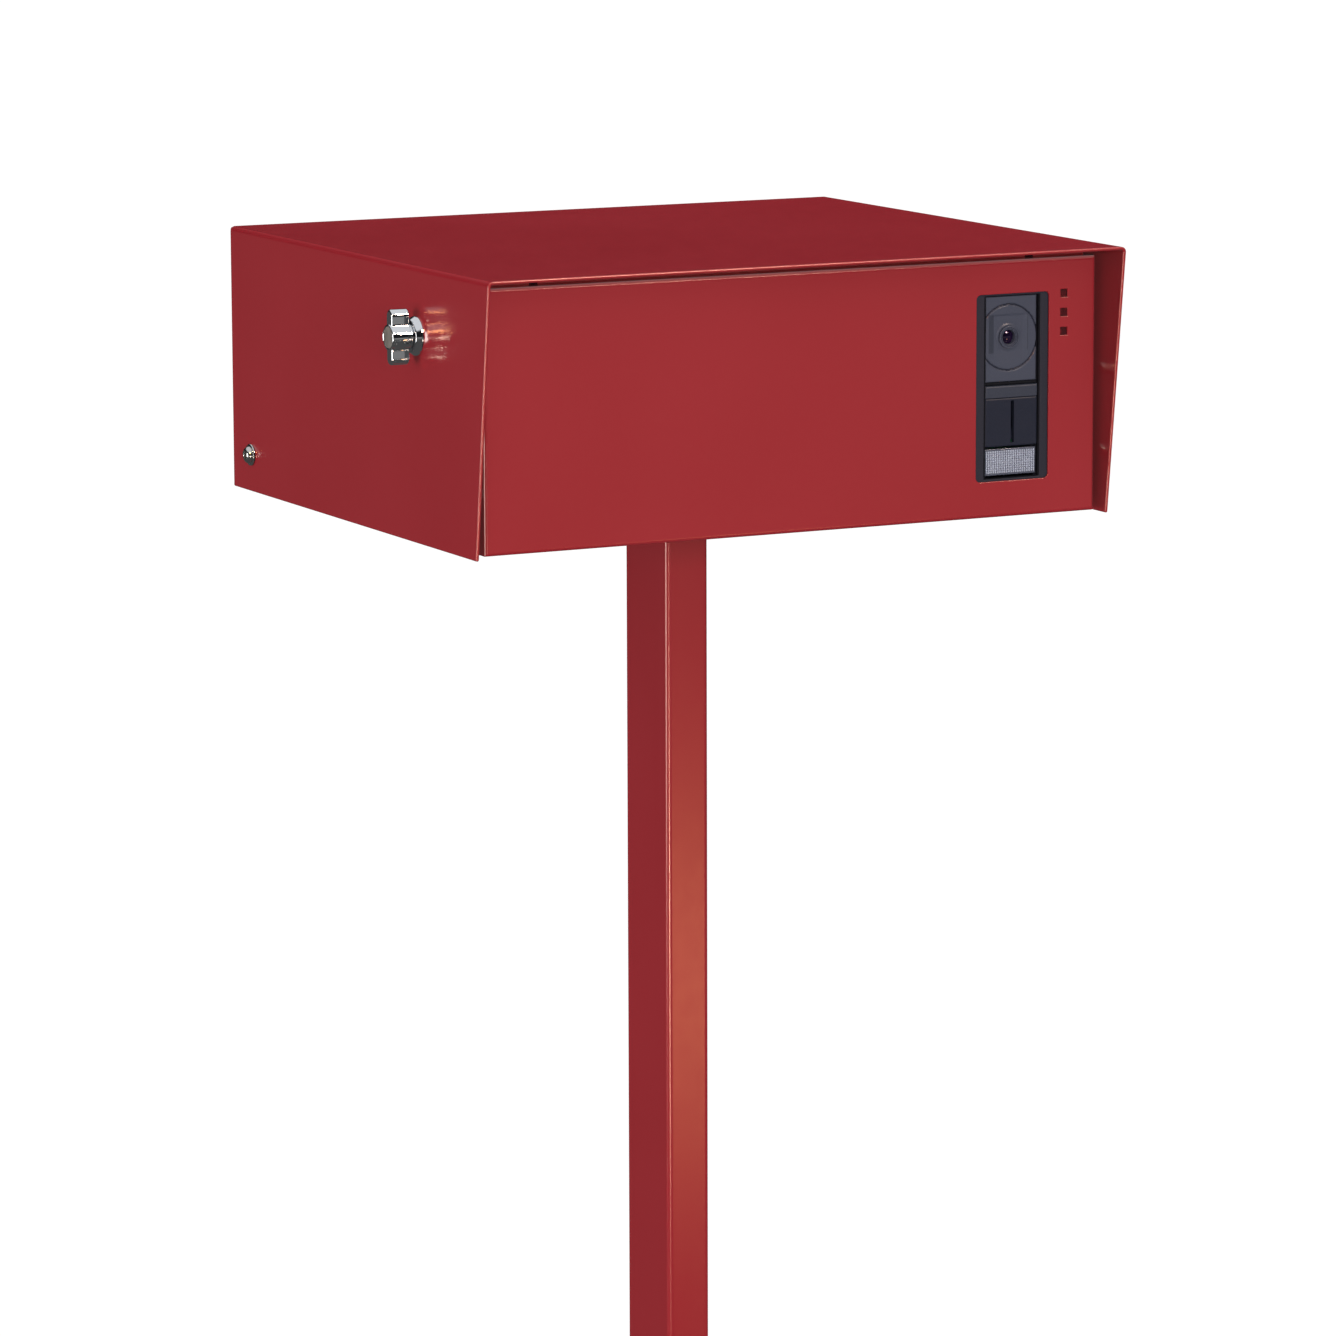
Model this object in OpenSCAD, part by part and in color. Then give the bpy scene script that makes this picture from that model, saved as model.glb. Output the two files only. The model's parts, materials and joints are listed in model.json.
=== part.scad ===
// Post-mounted letterbox: a folded sheet hood tips back over a fixed tray, whose
// front panel carries a door intercom. A wing knob on the left side latches the hood.
// Origin: on the ground, on the post's centre line. Front is -Y, up is +Z.

/* [Post] */
// Height of the hood's top above the ground
total_h = 1300; // [1000:10:1600]
// Width of the post, seen from the front
post_w = 30; // [28:1:50]
// Depth of the post, front to back
post_d = 60; // [40:1:90]
// Wall of the post
post_wall = 2.3; // [1.6:0.1:3.2]
// Outer corner radius of the post
post_corner = 3.5; // [2.5:0.5:5]
// Side of the square foot plate
foot_side = 200; // [150:5:300]
// Thickness of the foot plate
foot_t = 9; // [6:0.5:12]
// Distance between the anchor holes
anchor_pitch = 150; // [110:5:240]
// Diameter of the anchor holes
anchor_d = 14; // [9:0.5:18]
// Diameter of the cable hole in the foot plate
duct_d = 20; // [12:1:22]

/* [Hood] */
// Width of the hood
hood_w = 440; // [380:5:600]
// Depth of the hood, front edge to rear face
hood_d = 395; // [330:5:480]
// Height of the hood
hood_h = 170; // [150:2:230]
// Sheet thickness of the hood
hood_t = 2; // [1.2:0.1:3]
// Outer bend radius of the hood
hood_bend = 3.5; // [3.2:0.1:8]
// Distance from the post's axis forward to the hood's front edge
hood_reach = 202.5; // [160:2.5:240]
// How far the front edge of each side slants back towards the bottom
visor_rake = 20; // [0:1:40]
// Depth of the lip folded in under the rear wall
rear_lip = 13; // [8:0.5:13]

/* [Tray and front panel] */
// Sheet thickness of the tray and of the front panel
sheet_t = 1.6; // [1:0.1:2.3]
// Gap between the hood's outer side and the front panel's edge
side_gap = 8; // [6:0.5:14]
// Setback of the front panel behind the hood's front edge
panel_setback = 23.8; // [22:0.2:40]
// Height of the front panel's lower edge above the hood's lower edge
panel_low = 1.7; // [1:0.1:6]
// Gap between the top of the front panel and the hood's top face
panel_top_gap = 7; // [5:0.5:14]
// Outer bend radius of the front panel
panel_bend = 2.6; // [2.4:0.1:4]
// Depth of the panel's side and lower returns
panel_return = 18; // [14:1:26]
// Depth of the panel's top return
panel_top_return = 28; // [22:1:40]
// Height of the tray's walls
tray_h = 108; // [80:1:114]
// Diameter of the drain holes
drain_d = 6; // [3:0.5:10]

/* [Pivot] */
// Distance from the pivot to the hood's rear face
pivot_in = 32; // [32:0.5:40]
// Height of the pivot above the hood's lower edge
pivot_up = 24; // [24:0.5:30]
// Diameter of the bush that the hood turns on
bush_d = 10; // [8:0.5:14]
// Radial running clearance at the bush
bush_clear = 0.08; // [0.02:0.01:0.1]

/* [Latch] */
// Distance from the hood's front edge to the knob's axis
latch_in = 104.5; // [95:0.5:140]
// Height of the knob's axis above the hood's lower edge
latch_up = 127.5; // [125:0.5:132]
// Diameter of the latch body's barrel
barrel_d = 18; // [14:0.5:20]
// Diameter of the latch body's flange
collar_d = 24; // [22:0.5:30]
// Tip to tip span of the knob's wings
wing_span = 34; // [28:0.5:44]
// Width of each wing
wing_w = 8.6; // [6:0.2:11]
// Thickness of the knob along its axis
wing_t = 11.5; // [9:0.5:18]
// Diameter of the knob's centre boss
boss_d = 16; // [13:0.5:20]
// Reach of the cam from the axis
cam_reach = 36; // [26:0.5:38]
// Width of the cam
cam_w = 14; // [10:0.5:16]

/* [Intercom] */
// Centre of the intercom window to the right of the post's axis
window_x = 152.2; // [120:0.2:156]
// Centre of the intercom window above the hood's lower edge
window_up = 83.3; // [82:0.1:90]
// Width of the window cut in the front panel
window_w = 52; // [46:0.2:54]
// Height of the window cut in the front panel
window_h = 117.4; // [116:0.2:119]
// Width of the passage for the modules inside the frame
column_w = 38; // [36:0.2:42]
// Width of the frame's wider mouth in front of that passage
mouth_w = 40; // [38:0.2:44]
// Height of the column of modules
column_h = 114.8; // [112:0.2:116]
// Height of the call button
button_h = 16.6; // [12:0.2:17]
// Height of the speaker cover
speaker_h = 38.3; // [32:0.1:41]
// Travel of the call button
button_travel = 1.5; // [0.5:0.1:1.5]
// Side of each of the three small square holes
peep = 5; // [3:0.5:7]

/* [Hidden] */
$fn = 96;

paint = "#9c3033";
paint_inside = "#7c2327";
zinc = "#b9bcc0";
chrome = "#d9dce0";
black_plastic = "#2c2e33";

touch = 0.2;     // gap left between neighbours that don't press on each other
fit = 0.05;      // radial gap of a screw in its nut
bite = 1;        // overrun of a cutting shape
wide = 400;      // overrun of a hood or panel cut, past any wall

// places shared by several pieces
base_z = total_h - hood_h;              // lower edge of the hood
front_y = -hood_reach;                  // front edge of the hood
rear_y = front_y + hood_d;              // rear face of the hood
inner_x = hood_w/2 - hood_t;            // inner face of a hood side
panel_y = front_y + panel_setback;      // face of the front panel
panel_back = panel_y + sheet_t;         // rear face of the front panel's skin
panel_half = hood_w/2 - side_gap;       // half width of the front panel
panel_z0 = base_z + panel_low;
panel_z1 = total_h - panel_top_gap;

pivot_y = rear_y - pivot_in;
pivot_z = base_z + pivot_up;

tray_half = panel_half - sheet_t - touch;    // half width of the tray, outside
tray_inner = tray_half - sheet_t;
tray_z = panel_z0 + sheet_t + 0.5;           // underside of the tray's floor
floor_z = tray_z + sheet_t;                  // top of the tray's floor
tray_top = tray_z + tray_h;
tray_y0 = panel_back + panel_bend - sheet_t;   // clear of the panel's inner bend
corner_clear = 0.9;                          // between the tray's rear edge and the turning hood
swing_r = pivot_in - hood_t - corner_clear;
tray_y1 = pivot_y + sqrt(pow(swing_r, 2) - pow(pivot_z - tray_z, 2));
tray_bend = 3;

head_w = 120;
head_d = 160;
head_t = 4.5;
head_z = tray_z - head_t;
head_pitch_x = 90;
head_pitch_y = 130;
head_hole_d = 6.6;
head_bore_d = 24;

m6_d = 6;
m6_af = 10;
m6_head_h = 4;
m6_nut_h = 5;
m4_d = 4;
m4_nut_af = 7;
m4_nut_h = 3.2;
pan_head_d = 8;
pan_head_h = 2.4;

grommet_bore = 12;
grommet_neck = 18;
grommet_flange = 22;
grommet_lip = 1.5;

drain_in_x = 22;
drain_in_y = 26;

screw_rows = [38, 90];          // panel screws, above the hood's lower edge
screw_in = 10;                  // panel screws, behind the panel's face

buffer_d = 10;
buffer_x = panel_half - 40;
buffer_y = panel_y + 19;

latch_y = front_y + latch_in;
latch_z = base_z + latch_up;
latch_face = -hood_w/2;         // outer face of the hood's left side
collar_h = 4.2;
knob_gap = 0.3;
knob_neck_h = 1.5;
knob_neck_d = 15;
boss_out = 1;
spindle_d = 9;
tenon = 6;
washer_t = 0.8;
latch_nut_af = 24;
latch_nut_h = 3.5;
barrel_end = latch_face + 15;
cam_t = 2.5;
cam_x = barrel_end + 0.5;
knob_x1 = latch_face - collar_h - knob_gap;     // back of the knob's neck
knob_x0 = knob_x1 - knob_neck_h;                // back of the wings
knob_face = knob_x0 - wing_t;
cap_d = boss_d - 2.4;
cap_t = 1;

keeper_t = 1.6;
keeper_y1 = latch_y - 22;
keeper_y0 = keeper_y1 - 22;
keeper_roof = latch_z + cam_w/2 + 1.5;
keeper_low = tray_top - 30;
keeper_in = 11;
rivet_d = 4;
rivet_head_d = 7;
rivet_head_h = 1.5;
rivet_drop = [9, 21];

bush_spacer_d = 16;
m6_washer_d = 14;
m6_washer_t = 1.2;
button_head_d = 11;
button_head_h = 3.3;
hex_key = 4;
pivot_nut_af = 10;
pivot_nut_h = 5;

window_z = base_z + window_up;
window_r = 3;
frame_margin_w = 4.7;
frame_margin_h = 4.8;
frame_depth = 8;
frame_back = panel_back + frame_depth;
frame_w = window_w + 2*frame_margin_w;
frame_h = window_h + 2*frame_margin_h;
ear_w = 16;
ear_t = 3;
ear_h = 7.5;
case_d = 26;
case_wall = 2;
case_w = frame_w - 2;
case_h = frame_h - 2;
case_back = frame_back + case_d;
column_x = window_x + 0.55;  // the modules sit a little right of the window's middle
column_z0 = window_z - column_h/2;
mouth_deep = 2.4;
module_gap = 0.2;
camera_w = column_w - 1.6;
speaker_w = column_w - 2*module_gap;
button_w = column_w - 1.8;
seam = 1.5;
sill = 1.9;                  // below the button
groove = 2.4;                // between the speaker cover and the camera cover
button_z0 = column_z0 + sill;
button_z1 = button_z0 + button_h;
speaker_z0 = button_z1 + seam;
speaker_z1 = speaker_z0 + speaker_h;
camera_z0 = speaker_z1 + groove;
camera_z1 = column_z0 + column_h - 0.5;
lens_z = (camera_z0 + camera_z1)/2 + 1;
lens_x = column_x - 1.9;     // the camera sits a little left of its cover's middle
cover_y = panel_back + 1.2;
cover_t = 2.5;
ring_d = 14.4;
ring_bore = 9;
barrel_cam_d = 10;
lens_d = 8.6;
lens_sag = 1.2;
relief_r = 21;
relief_w = 0.9;
relief_deep = 0.6;
speaker_y = panel_back + 0.6;
speaker_t = 3;
slot_w = 2.4;
slot_h = 26.4;
slot_off = 0.8;               // the slot's offset to the right
slot_foot = 2.2;              // below the slot
driver_d = 30;
driver_h = 9;
board_t = 1.6;
board_y = case_back - case_wall - 6;
boss_post_d = 6;
board_half_w = case_w/2 - case_wall - 2;
board_half_h = case_h/2 - case_wall - 2;
button_y = panel_back + 1.9;
button_flange = 1.2;
plunger_d = 6;
plunger_end = board_y - 12.5;
switch_w = 12;
terminal_w = 30;
terminal_h = 14;
terminal_t = 9;
terminal_pitch = 14;

shield_t = 1.2;
shield_x0 = window_x - frame_w/2 - 3.5;
shield_x1 = window_x + frame_w/2 + shield_t + 0.4;
shield_flange = 15;
shield_y1 = case_back + terminal_t + 5;
shield_z0 = floor_z + 1;
shield_z1 = panel_z1 - 5;
stud_len = 8;
shield_stud_in = 10;
shield_stud_rows = [14, 30];     // shield studs, down from its top and up from its foot

peep_x = shield_x1 + 4.5;
peep_rows = [57.1, 45.1, 33.2];  // above the window's centre

// ---- drawing helpers ----

// extrudes a (y, z) outline from x0 to x1
module prism_x(x0, x1) translate([x0, 0, 0]) rotate([90, 0, 90]) linear_extrude(x1 - x0) children();

// extrudes an (x, z) outline from y0 to y1
module prism_y(y0, y1) translate([0, y1, 0]) rotate([90, 0, 0]) linear_extrude(y1 - y0) children();

// extrudes an (x, y) outline from z0 to z1
module prism_z(z0, z1) translate([0, 0, z0]) linear_extrude(z1 - z0) children();

// round bar along x, y or z, from a to b
module rod_x(a, b, y, z, d, sides = 96)
  translate([a, y, z]) rotate([0, 90, 0]) cylinder(h = b - a, d = d, $fn = sides);
module rod_y(a, b, x, z, d, sides = 96)
  translate([x, a, z]) rotate([-90, 0, 0]) cylinder(h = b - a, d = d, $fn = sides);
module rod_z(a, b, x, y, d, sides = 96)
  translate([x, y, a]) cylinder(h = b - a, d = d, $fn = sides);

// diameter of a hexagon's corners from its width across flats
function hex_d(af) = af / cos(30);

module box(x0, x1, y0, y1, z0, z1) translate([x0, y0, z0]) cube([x1 - x0, y1 - y0, z1 - z0]);

// rectangle with round corners, centred
module round_rect(w, h, r) {
  square([w - 2*r, h], center = true);
  square([w, h - 2*r], center = true);
  for (x = [-1, 1], y = [-1, 1]) translate([x*(w/2 - r), y*(h/2 - r)]) circle(r);
}

// x and y places of a centred rectangle's corners
function corners(px, py) = [for (x = [-1, 1], y = [-1, 1]) [x*px/2, y*py/2]];

// ---- post ----

module foot_plate() {
  color(paint)
  prism_z(0, foot_t) difference() {
    round_rect(foot_side, foot_side, 8);
    for (c = corners(anchor_pitch, anchor_pitch)) translate(c) circle(d = anchor_d);
    circle(d = duct_d);
  }
}

module post() {
  color(paint)
  prism_z(foot_t, head_z) difference() {
    round_rect(post_w, post_d, post_corner);
    round_rect(post_w - 2*post_wall, post_d - 2*post_wall, post_corner - post_wall);
  }
}

module head_plate() {
  color(paint)
  prism_z(head_z, tray_z) difference() {
    round_rect(head_w, head_d, 6);
    for (c = corners(head_pitch_x, head_pitch_y)) translate(c) circle(d = head_hole_d);
    circle(d = head_bore_d);
  }
}

module head_bolts() {
  color(zinc)
  for (c = corners(head_pitch_x, head_pitch_y)) {
    rod_z(floor_z, floor_z + m6_head_h, c[0], c[1], hex_d(m6_af), 6);
    rod_z(head_z - m6_nut_h - 1.5, floor_z, c[0], c[1], m6_d);
  }
}

module head_nuts() {
  color(zinc)
  for (c = corners(head_pitch_x, head_pitch_y)) difference() {
    rod_z(head_z - m6_nut_h, head_z, c[0], c[1], hex_d(m6_af), 6);
    rod_z(head_z - m6_nut_h - bite, head_z + bite, c[0], c[1], m6_d + 2*fit);
  }
}

module cable_grommet() {
  color("#1d1d1f")
  difference() {
    union() {
      rod_z(tray_z - grommet_lip, tray_z, 0, 0, grommet_flange);
      rod_z(tray_z - grommet_lip, floor_z + grommet_lip, 0, 0, grommet_neck - touch);
      rod_z(floor_z, floor_z + grommet_lip, 0, 0, grommet_flange);
    }
    rod_z(tray_z - grommet_lip - bite, floor_z + grommet_lip + bite, 0, 0, grommet_bore);
  }
}

// ---- tray ----

// plan of the tray, open at the front; inset moves its sides and rear inwards
module tray_plan(inset, front) {
  half = tray_half - inset;
  rear = tray_y1 - inset;
  r = tray_bend - inset;
  translate([-half, front]) square([2*half, rear - r - front]);
  translate([-half + r, front]) square([2*(half - r), rear - front]);
  for (s = [-1, 1]) translate([s*(half - r), rear - r]) circle(r);
}

module tray() {
  color(paint_inside)
  difference() {
    prism_z(tray_z, tray_top) tray_plan(0, tray_y0);
    prism_z(floor_z, tray_top + bite) tray_plan(sheet_t, tray_y0 - bite);
    rod_z(tray_z - bite, floor_z + bite, 0, 0, grommet_neck);
    for (c = corners(head_pitch_x, head_pitch_y))
      rod_z(tray_z - bite, floor_z + bite, c[0], c[1], head_hole_d);
    for (x = [-1, 1] * (tray_half - drain_in_x), y = [tray_y0 + drain_in_y, tray_y1 - drain_in_y])
      rod_z(tray_z - bite, floor_z + bite, x, y, drain_d);
    rod_x(-hood_w, hood_w, pivot_y, pivot_z, m6_d + 0.4);
    for (z = screw_rows) rod_x(-hood_w, hood_w, panel_y + screw_in, base_z + z, rivet_head_d - 1);
    for (d = rivet_drop)
      rod_x(-tray_half - bite, -tray_inner + bite, (keeper_y0 + keeper_y1)/2, tray_top - d, rivet_d + 0.2);
  }
}

module keeper() {
  y0 = keeper_y0;
  y1 = keeper_y1;
  x = -tray_inner;
  color(zinc)
  difference() {
    union() {
      box(x, x + keeper_t, y0, y1, keeper_low, keeper_roof + keeper_t);
      box(x, x + keeper_in, y0, y1, keeper_roof, keeper_roof + keeper_t);
    }
    for (d = rivet_drop) rod_x(x - bite, x + keeper_t + bite, (y0 + y1)/2, tray_top - d, rivet_d + 0.2);
  }
}

module keeper_rivets() {
  y = (keeper_y0 + keeper_y1)/2;
  color(zinc)
  for (d = rivet_drop) {
    rod_x(-tray_half - rivet_head_h, -tray_half, y, tray_top - d, rivet_head_d);
    rod_x(-tray_half - rivet_head_h, -tray_inner + keeper_t + 1, y, tray_top - d, rivet_d);
    rod_x(-tray_inner + keeper_t, -tray_inner + keeper_t + 1, y, tray_top - d, rivet_head_d - 1);
  }
}

module rest_buffers() {
  color("#1d1d1f")
  for (s = [-1, 1])
    rod_z(panel_z1, total_h - hood_t - touch, s*buffer_x, buffer_y, buffer_d);
}

// ---- front panel ----

// plan of the panel's front with its bends; inset leaves the sheet standing
module panel_plan(inset, depth) {
  half = panel_half - inset;
  front = panel_y + inset;
  r = panel_bend - inset;
  translate([-half, front + r]) square([2*half, depth - inset - r]);
  translate([-half + r, front]) square([2*(half - r), depth - inset]);
  for (s = [-1, 1]) translate([s*(half - r), front + r]) circle(r);
}

// the same in side view
module panel_side(inset, depth) {
  z0 = panel_z0 + inset;
  z1 = panel_z1 - inset;
  front = panel_y + inset;
  r = panel_bend - inset;
  translate([front + r, z0]) square([depth - inset - r, z1 - z0]);
  translate([front, z0 + r]) square([depth - inset, z1 - z0 - 2*r]);
  for (z = [z0 + r, z1 - r]) translate([front + r, z]) circle(r);
}

module panel_block(inset, depth) {
  intersection() {
    prism_z(panel_z0 - bite, panel_z1 + bite) panel_plan(inset, depth);
    prism_x(-panel_half - bite, panel_half + bite) panel_side(inset, depth);
  }
}

module front_panel() {
  color(paint)
  difference() {
    panel_block(0, panel_top_return);
    panel_block(sheet_t, panel_top_return + bite);
    // the sides and foot return less deep than the top
    box(-wide, wide, panel_y + panel_return, wide, panel_z0 - bite, panel_z1 - sheet_t - bite);
    prism_y(panel_y - bite, panel_back + bite)
      translate([window_x, window_z]) round_rect(window_w, window_h, window_r);
    for (z = peep_rows)
      box(peep_x - peep/2, peep_x + peep/2, panel_y - bite, panel_back + bite,
          window_z + z - peep/2, window_z + z + peep/2);
    for (z = screw_rows) rod_x(-wide, wide, panel_y + screw_in, base_z + z, m4_d + 0.5);
  }
}

module panel_screws() {
  color(zinc)
  for (s = [0, 1], z = screw_rows) mirror([s, 0, 0]) {
    rod_x(panel_half, panel_half + pan_head_h, panel_y + screw_in, base_z + z, pan_head_d);
    rod_x(panel_half - 12, panel_half, panel_y + screw_in, base_z + z, m4_d);
  }
}

module panel_rivet_nuts() {
  color(zinc)
  for (s = [0, 1], z = screw_rows) mirror([s, 0, 0]) difference() {
    union() {
      rod_x(tray_inner - 8, tray_half, panel_y + screw_in, base_z + z, rivet_head_d - 1 - touch);
      rod_x(tray_inner - 3, tray_inner, panel_y + screw_in, base_z + z, rivet_head_d + 1);
    }
    rod_x(tray_inner - 9, tray_half + bite, panel_y + screw_in, base_z + z, m4_d + 2*fit);
  }
}

// x, z and rear-face places of the six weld studs behind the panel
stud_places = concat(
  [for (s = [-1, 1]) [window_x, window_z + s*(frame_h/2 + ear_h/2), panel_back + ear_t]],
  [for (x = [shield_x0 - shield_stud_in, shield_x1 + shield_stud_in + 2],
        z = [shield_z1 - shield_stud_rows[0], shield_z0 + shield_stud_rows[1]])
    [x, z, panel_back + shield_t]]
);

module panel_studs() {
  color(zinc)
  for (p = stud_places) rod_y(panel_back, panel_back + stud_len, p[0], p[1], m4_d);
}

module stud_nuts() {
  color(zinc)
  for (p = stud_places) difference() {
    rod_y(p[2], p[2] + m4_nut_h, p[0], p[1], hex_d(m4_nut_af), 6);
    rod_y(p[2] - bite, p[2] + m4_nut_h + bite, p[0], p[1], m4_d + 2*fit);
  }
}

// ---- pivot ----

module pivot_bushes() {
  color("#e4e2da")
  for (s = [0, 1]) mirror([s, 0, 0]) difference() {
    union() {
      rod_x(tray_half, inner_x - touch, pivot_y, pivot_z, bush_spacer_d);
      rod_x(tray_half, hood_w/2 + touch, pivot_y, pivot_z, bush_d);
    }
    rod_x(tray_half - bite, hood_w/2 + bite, pivot_y, pivot_z, m6_d + 2*fit);
  }
}

module pivot_washers() {
  x = hood_w/2 + touch;
  color(chrome)
  for (s = [0, 1]) mirror([s, 0, 0]) difference() {
    rod_x(x, x + m6_washer_t, pivot_y, pivot_z, m6_washer_d);
    rod_x(x - bite, x + m6_washer_t + bite, pivot_y, pivot_z, m6_d + 2*fit);
  }
}

module pivot_screws() {
  x = hood_w/2 + touch + m6_washer_t;
  color(chrome)
  for (s = [0, 1]) mirror([s, 0, 0]) difference() {
    union() {
      rod_x(tray_inner - pivot_nut_h - 2, x, pivot_y, pivot_z, m6_d);
      translate([x, pivot_y, pivot_z]) rotate([0, 90, 0])
        cylinder(h = button_head_h, d1 = button_head_d, d2 = button_head_d*0.62);
    }
    rod_x(x + button_head_h - 2, x + button_head_h + bite, pivot_y, pivot_z, hex_d(hex_key), 6);
  }
}

module pivot_nuts() {
  color(zinc)
  for (s = [0, 1]) mirror([s, 0, 0]) difference() {
    rod_x(tray_inner - pivot_nut_h, tray_inner, pivot_y, pivot_z, hex_d(pivot_nut_af), 6);
    rod_x(tray_inner - pivot_nut_h - bite, tray_inner + bite, pivot_y, pivot_z, m6_d + 2*fit);
  }
}

// ---- hood ----

// hood outlines: inset moves every wall inwards, over lets a cut run past the open sides
module hood_front_view(inset, over) {
  half = hood_w/2 - inset;
  top = total_h - inset;
  r = hood_bend - inset;
  translate([-half, base_z - over]) square([2*half, hood_h + over - inset - r]);
  translate([-half + r, base_z - over]) square([2*(half - r), hood_h + over - inset]);
  for (s = [-1, 1]) translate([s*(half - r), top - r]) circle(r);
}

module hood_side_view(inset, over) {
  rear = rear_y - inset;
  top = total_h - inset;
  r = hood_bend - inset;
  rake = over > 0 ? 0 : visor_rake;
  polygon([
    [front_y - over, top], [front_y - over + rake, base_z - over],
    [rear, base_z - over], [rear, top - r], [rear - r, top]
  ]);
  translate([rear - r, top - r]) circle(r);
}

module hood_plan(inset, over) {
  half = hood_w/2 - inset;
  rear = rear_y - inset;
  r = hood_bend - inset;
  translate([-half, front_y - over]) square([2*half, rear - r - front_y + over]);
  translate([-half + r, front_y - over]) square([2*(half - r), rear - front_y + over]);
  for (s = [-1, 1]) translate([s*(half - r), rear - r]) circle(r);
}

module hood_block(inset, over) {
  intersection() {
    prism_y(front_y - over - bite, rear_y + bite) hood_front_view(inset, over);
    prism_x(-hood_w/2 - bite, hood_w/2 + bite) hood_side_view(inset, over);
    prism_z(base_z - over - bite, total_h + bite) hood_plan(inset, over);
  }
}

module hood() {
  lip_y = rear_y - hood_t;
  color(paint)
  difference() {
    union() {
      difference() {
        hood_block(0, 0);
        hood_block(hood_t, 60);
      }
      box(-inner_x, inner_x, lip_y - rear_lip, lip_y + hood_t/2, base_z, base_z + hood_t);
    }
    rod_x(-hood_w, hood_w, pivot_y, pivot_z, bush_d + 2*bush_clear);
    rod_x(latch_face - bite, latch_face + hood_t + bite, latch_y, latch_z, barrel_d + 0.3);
  }
}

// ---- latch ----

module latch_body() {
  color(chrome)
  difference() {
    union() {
      translate([latch_face - collar_h, latch_y, latch_z]) rotate([0, 90, 0])
        cylinder(h = collar_h, d1 = collar_d - 3.6, d2 = collar_d);
      rod_x(latch_face - 0.5, barrel_end, latch_y, latch_z, barrel_d);
    }
    rod_x(latch_face - collar_h - bite, barrel_end + bite, latch_y, latch_z, spindle_d + 0.2);
  }
}

module latch_washer() {
  x = latch_face + hood_t;
  color(zinc)
  difference() {
    rod_x(x, x + washer_t, latch_y, latch_z, latch_nut_af);
    rod_x(x - bite, x + washer_t + bite, latch_y, latch_z, barrel_d + 2*fit);
  }
}

module latch_nut() {
  x = latch_face + hood_t + washer_t;
  color(zinc)
  difference() {
    rod_x(x, x + latch_nut_h, latch_y, latch_z, hex_d(latch_nut_af), 6);
    rod_x(x - bite, x + latch_nut_h + bite, latch_y, latch_z, barrel_d + 2*fit);
  }
}

// outline of the wing knob in the (y, z) plane: a boss, two wings and their fillets
module knob_outline() {
  tip = wing_span/2 - wing_w/2;
  fillet = 3;
  // the fillet's centre lies one fillet off both the wing's side and the boss
  fy = wing_w/2 + fillet;
  fz = sqrt(pow(boss_d/2 + fillet, 2) - pow(fy, 2));
  circle(d = boss_d);
  for (s = [-1, 1]) translate([0, s*tip]) circle(d = wing_w);
  square([wing_w, 2*tip], center = true);
  difference() {
    polygon([for (k = [[-1, -1], [1, -1], [1, 1], [-1, 1]]) [k[0]*fy, k[1]*fz]]);
    for (a = [-1, 1], b = [-1, 1]) translate([a*fy, b*fz]) circle(fillet);
    for (a = [-1, 1]) translate([a*(fy + boss_d/2), 0]) square([boss_d, boss_d], center = true);
  }
}

module wing_knob() {
  color(chrome)
  difference() {
    union() {
      prism_x(knob_face, knob_x0) translate([latch_y, latch_z]) knob_outline();
      rod_x(knob_face - boss_out, knob_x0, latch_y, latch_z, boss_d);
      rod_x(knob_x0, knob_x1, latch_y, latch_z, knob_neck_d);
    }
    rod_x(knob_face - boss_out - bite, knob_face - boss_out + cap_t, latch_y, latch_z, cap_d);
    rod_x(knob_x1 - 9, knob_x1 + bite, latch_y, latch_z, spindle_d + 2*fit);
  }
}

module knob_cap() {
  color("#a9a8a4")
  rod_x(knob_face - boss_out, knob_face - boss_out + cap_t, latch_y, latch_z, cap_d - touch);
}

module latch_spindle() {
  color(zinc)
  difference() {
    union() {
      rod_x(knob_x1 - 9, cam_x - touch, latch_y, latch_z, spindle_d);
      box(cam_x - touch, cam_x + cam_t, latch_y - tenon/2, latch_y + tenon/2,
          latch_z - tenon/2, latch_z + tenon/2);
    }
    rod_x(cam_x - 6, cam_x + cam_t + bite, latch_y, latch_z, m4_d + 2*fit);
  }
}

module latch_cam() {
  color(zinc)
  difference() {
    prism_x(cam_x, cam_x + cam_t) translate([latch_y, latch_z]) {
      circle(d = cam_w);
      translate([-cam_w/2, cam_w/2 - cam_reach]) square([cam_w, cam_reach - cam_w/2]);
      translate([0, cam_w/2 - cam_reach]) circle(d = cam_w);
    }
    box(cam_x - bite, cam_x + cam_t + bite, latch_y - tenon/2 - fit, latch_y + tenon/2 + fit,
        latch_z - tenon/2 - fit, latch_z + tenon/2 + fit);
  }
}

module cam_screw() {
  x = cam_x + cam_t;
  color(zinc)
  difference() {
    union() {
      rod_x(x, x + pan_head_h, latch_y, latch_z, pan_head_d + 2);
      rod_x(cam_x - 5, x, latch_y, latch_z, m4_d);
    }
    box(x + pan_head_h - 1, x + pan_head_h + bite, latch_y - 5.5, latch_y + 5.5, latch_z - 0.5, latch_z + 0.5);
  }
}

// ---- intercom ----

module intercom_frame() {
  color(black_plastic)
  difference() {
    union() {
      prism_y(panel_back, frame_back) translate([window_x, window_z]) round_rect(frame_w, frame_h, 4);
      prism_y(panel_back, panel_back + ear_t) translate([window_x, window_z])
        square([ear_w, frame_h + 2*ear_h], center = true);
    }
    prism_y(panel_back - bite, frame_back + bite) translate([column_x, window_z])
      square([column_w, column_h], center = true);
    prism_y(panel_back - bite, panel_back + mouth_deep) translate([column_x, window_z])
      square([mouth_w, column_h], center = true);
    for (s = [-1, 1])
      rod_y(panel_back - bite, panel_back + ear_t + bite, window_x,
            window_z + s*(frame_h/2 + ear_h/2), m4_d + 0.4);
  }
}

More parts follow.
